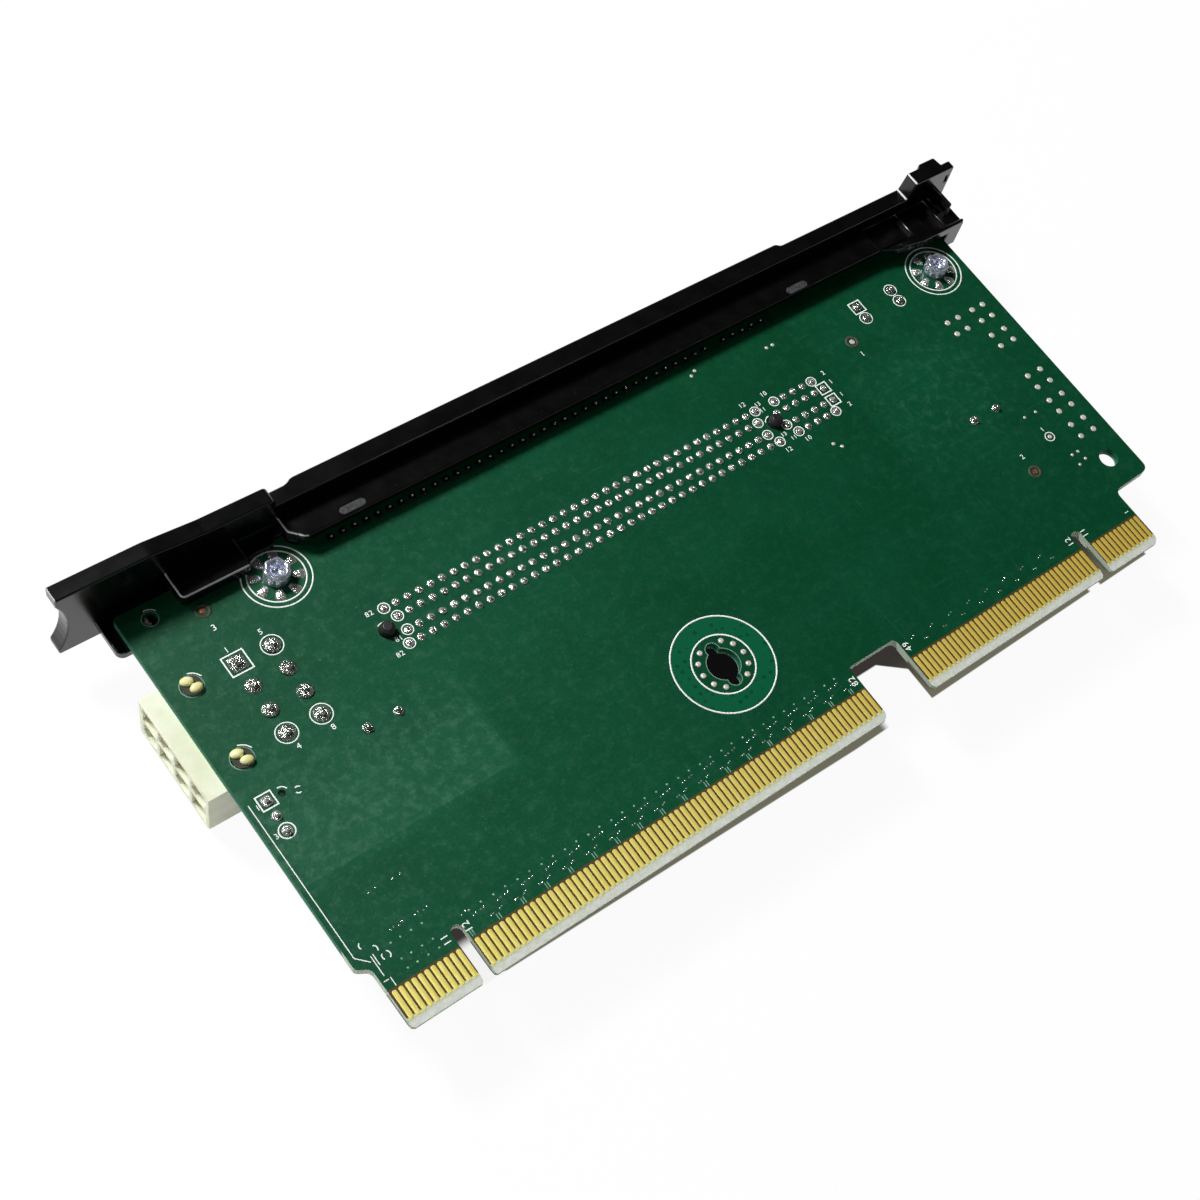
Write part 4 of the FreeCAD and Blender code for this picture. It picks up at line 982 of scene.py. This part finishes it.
RINGED = (
    (2, 0), (2, 3), (10, 0), (10, 3), (11, 2), (12, 0), (12, 3), (13, 1), (13, 2), (82, 0), (82, 3), (81, 1),
    (81, 2),
)
TEST_RING = (141.6, 19.2)
for name, radius, line, places, facets in (
    ("contact_rings", 0.86, 0.17, [tail(*one) for one in RINGED], 28),
    ("power_rings", 1.6, 0.17, [(13.7, 51.05), (8.2, 38.45), (13.7, 38.45)], 36),
    ("header_ring", 1.15, 0.2, [HEADER[2]], 28),
    ("switch_rings", 1.12, 0.18, SWITCH[1:], 28),
    ("keyhole_inner_ring", 4.93, 0.26, [KEYHOLE], 96),
    ("keyhole_outer_ring", 8.11, 0.26, [KEYHOLE], 128),
    ("screw_inner_rings", 4.2, 0.22, SCREWS, 72),
    ("screw_outer_rings", 5.05, 0.22, SCREWS, 80),
    ("test_point_ring", 0.85, 0.18, [TEST_RING], 24),
):
    print_rings(name, radius, line, places, facets)

# %% [markdown]
# Three round targets guide the machine that places parts. Each is a bare copper dot in a ring
# where the mask was left off, so that brown laminate shows.

# %% Copper targets
bare_ring = plastic("bare_laminate", paint(44, 46, 38), paint(82, 80, 66), 0.5, 0.7, 2.0, 0.01)
TARGETS = [(8.5, 60.5), (123.6, 50.9), (134.5, 15.3)]
print_rings("target_laminate", 0.98, 0.5, TARGETS, 32, bare_ring, 0.012)
target_dot = dome("target_dot", 0.5, 0.03, 16)
dots("target_dots", target_dot, TARGETS[::2], copper)
dots("tinned_target_dot", target_dot, TARGETS[1:2])
dots("ringed_test_dot", dome("ringed_dot", 0.42, 0.08, 12), [TEST_RING])

# %% [markdown]
# A strip of ink is a ribbon with a width and a height. `ribbon` lays one along points, and
# meets its corners square; arcs are many short runs.

# %% Printed strips
def ribbon(work, path, width, height=INK, closed=False):
    """Adds a raised strip along (x, y) points in millimetres."""
    count = len(path)
    left, right = [], []
    for i in range(count):
        here = Vector(path[i])
        before = Vector(path[i - 1]) if i > 0 or closed else None
        after = Vector(path[(i + 1) % count]) if i < count - 1 or closed else None
        runs = [(here - before).normalized()] if before is not None else []
        runs += [(after - here).normalized()] if after is not None else []
        along = sum(runs, Vector((0, 0))).normalized()
        across = Vector((-along.y, along.x))
        stretch = 1.0 / max(0.35, across.dot(Vector((-runs[0].y, runs[0].x))))
        left.append(here + across * width / 2 * stretch)
        right.append(here - across * width / 2 * stretch)
    corners = []
    for (a, b) in zip(left, right):
        ends = ((a, 0.0), (b, 0.0), (b, height), (a, height))
        corners.append([work.verts.new(at(p.x, p.y, z0)) for p, z0 in ends])
    pairs = list(zip(corners, corners[1:] + corners[:1])) if closed else list(zip(corners, corners[1:]))
    for one, two in pairs:
        for i in range(4):
            j = (i + 1) % 4
            work.faces.new((one[i], two[i], two[j], one[j]))
    if not closed:
        work.faces.new(corners[0])
        work.faces.new(corners[-1][::-1])


def arc(cx, cy, radius, start, end, steps=12):
    turn = [math.radians(start + (end - start) * i / steps) for i in range(steps + 1)]
    return [(cx + radius * math.cos(t), cy + radius * math.sin(t)) for t in turn]


def square(cx, cy, half):
    return [(cx - half, cy - half), (cx + half, cy - half), (cx + half, cy + half), (cx - half, cy + half)]


def show_ribbons(name, runs, material):
    """Lays (path, width, height, closed) ribbons as one piece."""
    work = bmesh.new()
    for path, width, height, closed in runs:
        ribbon(work, path, width, height, closed)
    bmesh.ops.recalc_face_normals(work, faces=work.faces)
    show(name, mesh_of(work, name), material)


boxes = (
    (*tail(1, 1), 0.98), (*tail(1, 2), 0.98), (*POWER_FIRST, 1.65), (*HEADER[0], 1.15), (*SWITCH[0], 1.15),
)
ticks = (
    ([(-1.8, 32.0), (-1.8, 6.4), (-0.3, 4.8)], 0.13), ([(0.12, 2.3), (0.12, 5.5)], 0.12),
    ([(0.5, 3.8), (0.5, 5.6)], 0.12), ([(0.7, 0.35), (0.7, 1.7)], 0.12),
)
arcs = (
    arc(*PEGS[1], 2.0, 20, 78), arc(*PEGS[0], 2.0, 20, 78), arc(*LOCATOR, 1.5, 30, 100),
    arc(2.9, 31.2, 0.95, 15, 100), arc(0.1, 7.3, 0.55, 120, 220, 8), arc(0.9, 6.0, 0.6, -40, 70, 8),
    arc(1.9, 4.5, 0.6, -60, 60, 8), arc(1.9, 4.5, 0.6, 130, 220, 8), arc(5.0, 30.5, 0.5, 30, 120, 8),
    arc(5.0, 30.5, 0.5, 200, 290, 8), arc(101.59, 44.7, 1.55, 95, 150), arc(28.5, 44.7, 1.5, 60, 120),
)
show_ribbons(
    "printed_strips",
    [(square(*box), 0.2, INK, True) for box in boxes]
    + [(path, width, INK, False) for path, width in ticks]
    + [(path, 0.16, INK, False) for path in arcs],
    ink,
)

# %% [markdown]
# Contacts are counted in plain numbers. A number is a text object, made a mesh before it is
# put in its place, so that the finished piece sits at the origin like all the others.

# %% Printed numbers
def print_numbers(name, labels):
    work = bmesh.new()
    for words, px, py, height, turn in labels:
        text = bpy.data.curves.new("number", "FONT")
        text.body = words
        text.align_x, text.align_y = "CENTER", "CENTER"
        text.size = height * 1.3
        text.space_character = 1.12
        text.resolution_u = 2
        text.extrude = INK / 2
        text.offset = 0.004 * height
        figure = put("number", text)
        graph = bpy.context.evaluated_depsgraph_get()
        mesh = bpy.data.meshes.new_from_object(figure.evaluated_get(graph), depsgraph=graph)
        mesh.transform(Matrix.Translation(at(px, py, INK / 2)) @ Matrix.Rotation(math.radians(turn), 4, "Z")
                       @ Matrix.Scale(MM, 4))
        work.from_mesh(mesh)
        bpy.data.objects.remove(figure)
        bpy.data.meshes.remove(mesh)
    bmesh.ops.remove_doubles(work, verts=work.verts, dist=1e-7)
    return show(name, mesh_of(work, name), ink)


upright = (
    ("1", 8.0, 53.5, 1.0), ("5", 13.4, 53.6, 1.0), ("4", 8.5, 35.9, 1.0), ("8", 14.0, 35.9, 1.0),
    ("1", -0.9, 31.0, 0.9), ("3", -1.0, 26.2, 0.9), ("2", 115.0, 48.4, 0.9), ("1", 115.1, 46.4, 0.9),
    ("1", 115.1, 43.6, 0.9), ("2", 115.1, 41.4, 0.9), ("12", 98.9, 50.0, 0.9), ("10", 103.4, 50.0, 0.9),
    ("13", 101.3, 48.9, 0.8), ("11", 101.4, 47.6, 0.8), ("13", 101.5, 42.2, 0.8), ("11", 102.6, 40.9, 0.8),
    ("12", 100.4, 39.5, 0.9), ("10", 104.6, 39.6, 0.9), ("82", 27.8, 48.3, 0.9), ("81", 29.2, 42.8, 0.9),
    ("82", 28.0, 40.6, 0.9), ("1", 123.6, 48.1, 1.0), ("2", 134.5, 18.6, 1.0), ("3", 8.4, 57.4, 1.1),
    ("1", 141.4, 20.9, 0.9),
)
along_fingers = (
    ("1", 0.05, 1.6, 0.9), ("11", 9.55, 1.9, 1.2), ("12", 12.95, 1.9, 1.2), ("82", 82.75, 1.9, 1.2),
    ("49", 94.0, 2.0, 1.2), ("12", 130.35, 2.2, 1.2), ("11", 133.8, 2.2, 1.2), ("1", 143.2, 1.3, 0.9),
)
print_numbers(
    "printed_numbers", [(*label, 0) for label in upright] + [(*label, 90) for label in along_fingers]
)

# %% [markdown]
# Where a signal pair leaves its fingers, two short copper traces run up under the mask. They
# stand proud by the copper's thickness and look a little brighter than the board round them.

# %% Short traces above the fingers
trace_green = plastic("mask_over_copper", paint(96, 150, 124), paint(160, 196, 176), 0.25, 0.4, 1.5, 0.01)
TRACE_W, TRACE_T = 0.13, 0.02
trace_runs = [(px, 0.32, 1.25) for px in pair_ends] + [(px, 0.35, 1.3) for px in (12.8, 13.15)]
show_ribbons(
    "finger_traces",
    [([(px, low), (px, high)], TRACE_W, TRACE_T, False) for px, low, high in trace_runs],
    trace_green,
)
dots("masked_vias", dome("masked_via", 0.17, 0.03, 8), faint, trace_green)

# %% [markdown]
# ## The side that faces down
# Under the board sit two tall capacitor cans and rows of small ceramic ones. A can is drawn
# from sheet, rolled in at the neck, and its far end is scored so that it can vent; the lathe gives
# the neck but leaves the score out. A ceramic capacitor is a fired block with a tinned cap on each end.

# %% Cans and ceramic capacitors
BUNG_T = 0.6
can = lathe("capacitor_can", [
    (4.4, -9.6), (4.6, -9.6), (4.86, -9.5), (5.0, -9.2), (5.0, -2.0), (4.86, -1.86), (4.6, -1.7),
    (4.55, -1.6), (4.6, -1.5), (4.86, -1.34), (5.0, -1.2), (5.0, -0.12), (4.9, 0.0), (4.4, 0.0),
], 48)
copy_to("capacitor_can_shells", can, [at(*p, -BOARD_T - BUNG_T) for p in CANS], can_metal,
        ["capacitor_cans"], turn=0.0)


def block(name, dx, dy, dz, ease):
    """A block with rounded edges, hanging from its top face."""
    work = bmesh.new()
    bmesh.ops.create_cube(work, size=1.0)
    for vertex in work.verts:
        vertex.co = Vector((vertex.co.x * dx, vertex.co.y * dy, (vertex.co.z - 0.5) * dz)) * MM
    bmesh.ops.bevel(work, geom=work.edges[:], offset=ease * MM, segments=2, affect="EDGES", profile=0.5)
    return mesh_of(work, name)


power_chips = [(148.4, 44.5), (142.5, 44.5), (148.2, 38.7), (148.3, 29.1), (148.3, 23.4), (148.3, 17.8)]
pair_chips = [(14.5 + 2.1 * i, 9.0 + 1.4 * (i % 2)) for i in range(32)]
for label, node, spots, dx, dy, dz, end in (
    ("power_chips", "ceramic_power_capacitors", power_chips, 3.2, 2.5, 1.9, 0.55),
    ("pair_chips", "ceramic_coupling_capacitors", pair_chips, 0.6, 1.05, 0.5, 0.25),
):
    long_x = dx > dy
    body = block(label, dx - (0.1 if long_x else 0.04), dy - (0.04 if long_x else 0.1), dz - 0.03, 0.05)
    copy_to(label + "_bodies", body, [at(*p, -BOARD_T) for p in spots], fired_clay, [node], 0.0)
    cap = block(label + "_cap", end if long_x else dx, dy if long_x else end, dz, 0.06)
    ends = []
    for px, py in spots:
        for side in (-1, 1):
            shift = side * ((dx if long_x else dy) - end) / 2
            ends.append(at(px + (shift if long_x else 0), py + (0 if long_x else shift), -BOARD_T))
    copy_to(label + "_caps", cap, ends, tin, (), 0.0)

# %% [markdown]
# ## Room, light and camera
# The card lies on a plain white table, which the camera sees evenly lit out to its edges. The
# shade under the card is part of the table's finish and follows no lamp, so it holds for this
# camera: it ends along a line a little in front of the fingers, it is broken where light comes
# through the key slots and the wide notch, and it is darkest below the keyed hole. From low views
# it shows as a hard patch. One soft lamp stands behind the card, so that the bracket throws its
# shadow down the board. Two very small lamps, one at the left and one in front, add hardly any
# light, but being small they are bright, and rounded edges and solder mirror them as thin lines.
# The room is pale at the horizon and dark overhead: a glossy black moulding shows
# whatever is above it, and here that should be nearly nothing.

# %% The table
floor_mesh = bpy.data.meshes.new("table_top")
floor_mesh.from_pydata([(-3, -3, 0), (3, -3, 0), (3, 3, 0), (-3, 3, 0)], [], [(0, 1, 2, 3)])
floor = put("table_top", floor_mesh)
floor.location.z = -0.0002
table = Finish("white_table", Roughness=0.9, Specular_IOR_Level=0.1)
_, fx, fy, _ = table.ruler()
rim_line = (-3.07 - fx * 0.0158).most(-5.22 + fx * 0.0102)
in_front = (fy - rim_line).rise(-0.12, 0.12) * fx.within(12.5, 151.0, 0.3)
at_left = fx.within(3.0, 20.0, 1.5) * fy.rise(2.6, 5.0)
under_card = in_front.most(at_left) * (1 - fy.rise(65.0, 67.0))
left_key_light = fx.within(10.0, 17.4, 0.4) * (1 - fy.rise(2.2, 4.2)) * 0.92
notch_top = fy.most(fy + (fx - 95.3) * 0.8)
notch_light = fx.rise(88.6, 90.4) * (1 - fx.rise(99.4, 99.6)) * (1 - notch_top.rise(5.1, 5.4))
right_key_light = fx.within(136.8, 139.4, 0.3) * (1 - fy.rise(-3.0, -1.8))
under_card = under_card * (1 - left_key_light.most(notch_light).most(right_key_light))
BELOW_KEYHOLE = (75.3, 17.8)
below_key = 1 - distance(fx - BELOW_KEYHOLE[0], fy - BELOW_KEYHOLE[1]).rise(6.0, 9.0)
shade = table.mix(fy.rise(-4.5, 5.0), paint(112, 111, 94), paint(56, 53, 50))
shade = table.mix(below_key, shade, paint(15, 15, 15))
table.wear(Base_Color=table.mix(under_card, paint(252, 252, 252), paint(40, 39, 39)))
ray = table.node("ShaderNodeLightPath").outputs
seen = sum(Number(table, ray["Is %s Ray" % kind]) for kind in ("Camera", "Glossy", "Transmission"))
lit = table.mix(under_card, paint(255, 255, 255), shade)
glow = table.node("ShaderNodeEmission", None, {"Color": lit, "Strength": 1.0})
GLOW_SHARE = 0.95
share = seen * GLOW_SHARE
blend = table.node("ShaderNodeMixShader", None, {0: share, 1: table.surface.outputs[0], 2: glow.outputs[0]})
table.tree.links.new(blend.outputs[0], table.tree.nodes["Material Output"].inputs["Surface"])
floor_mesh.materials.append(table.material)

# %% Lamps and room
def soft_light(name, place, width, watts):
    lamp = bpy.data.lights.new(name, "AREA")
    lamp.shape = "RECTANGLE"
    lamp.size = lamp.size_y = width
    lamp.energy = watts
    stand = put(name, lamp)
    stand.location = place
    stand.rotation_euler = (-Vector(place)).to_track_quat("-Z", "Y").to_euler()


soft_light("lamp_behind", (-0.26, 0.55, 0.69), 0.2, 9.7)
soft_light("glint_at_left", (-0.54, 0.275, 0.665), 0.08, 0.5)
soft_light("glint_in_front", (-0.25, -0.52, 0.82), 0.08, 0.5)

world = bpy.data.worlds.new("pale_room")
bpy.context.scene.world = world
world.use_nodes = True
way = fill_node(world.node_tree, "ShaderNodeTexCoord").outputs["Generated"]
height = fill_node(world.node_tree, "ShaderNodeSeparateXYZ", None, {0: way}).outputs[2]
greys = [(rise, paint(grey, grey, grey)) for rise, grey in ((0.0, 172), (0.26, 94), (0.6, 30), (1.0, 22))]
ceiling = fill_node(world.node_tree, "ShaderNodeValToRGB", {"stops": greys}, {"Fac": height}).outputs[0]
sky = world.node_tree.nodes["Background"]
world.node_tree.links.new(ceiling, sky.inputs["Color"])
path = fill_node(world.node_tree, "ShaderNodeLightPath").outputs["Is Camera Ray"]
white = fill_node(
    world.node_tree, "ShaderNodeBackground", None, {"Color": paint(255, 255, 255), "Strength": 1.0}
)
room = fill_node(
    world.node_tree, "ShaderNodeMixShader", None, {0: path, 1: sky.outputs[0], 2: white.outputs[0]}
)
world.node_tree.links.new(room.outputs[0], world.node_tree.nodes["World Output"].inputs["Surface"])

# %% Camera
lens = bpy.data.cameras.new("camera")
lens.lens, lens.sensor_width = 57.26, 36.0
lens.shift_x, lens.shift_y = -0.12543, 0.0380
lens.clip_start, lens.clip_end = 0.01, 10.0
eye = put("camera", lens)
eye.location = (-0.131356, -0.088364, 0.256155)
eye.rotation_euler = Euler([math.radians(a) for a in (28.617, -13.41776, -38.48007)], "XYZ")
bpy.context.scene.camera = eye
bpy.context.scene.view_settings.view_transform = "Standard"
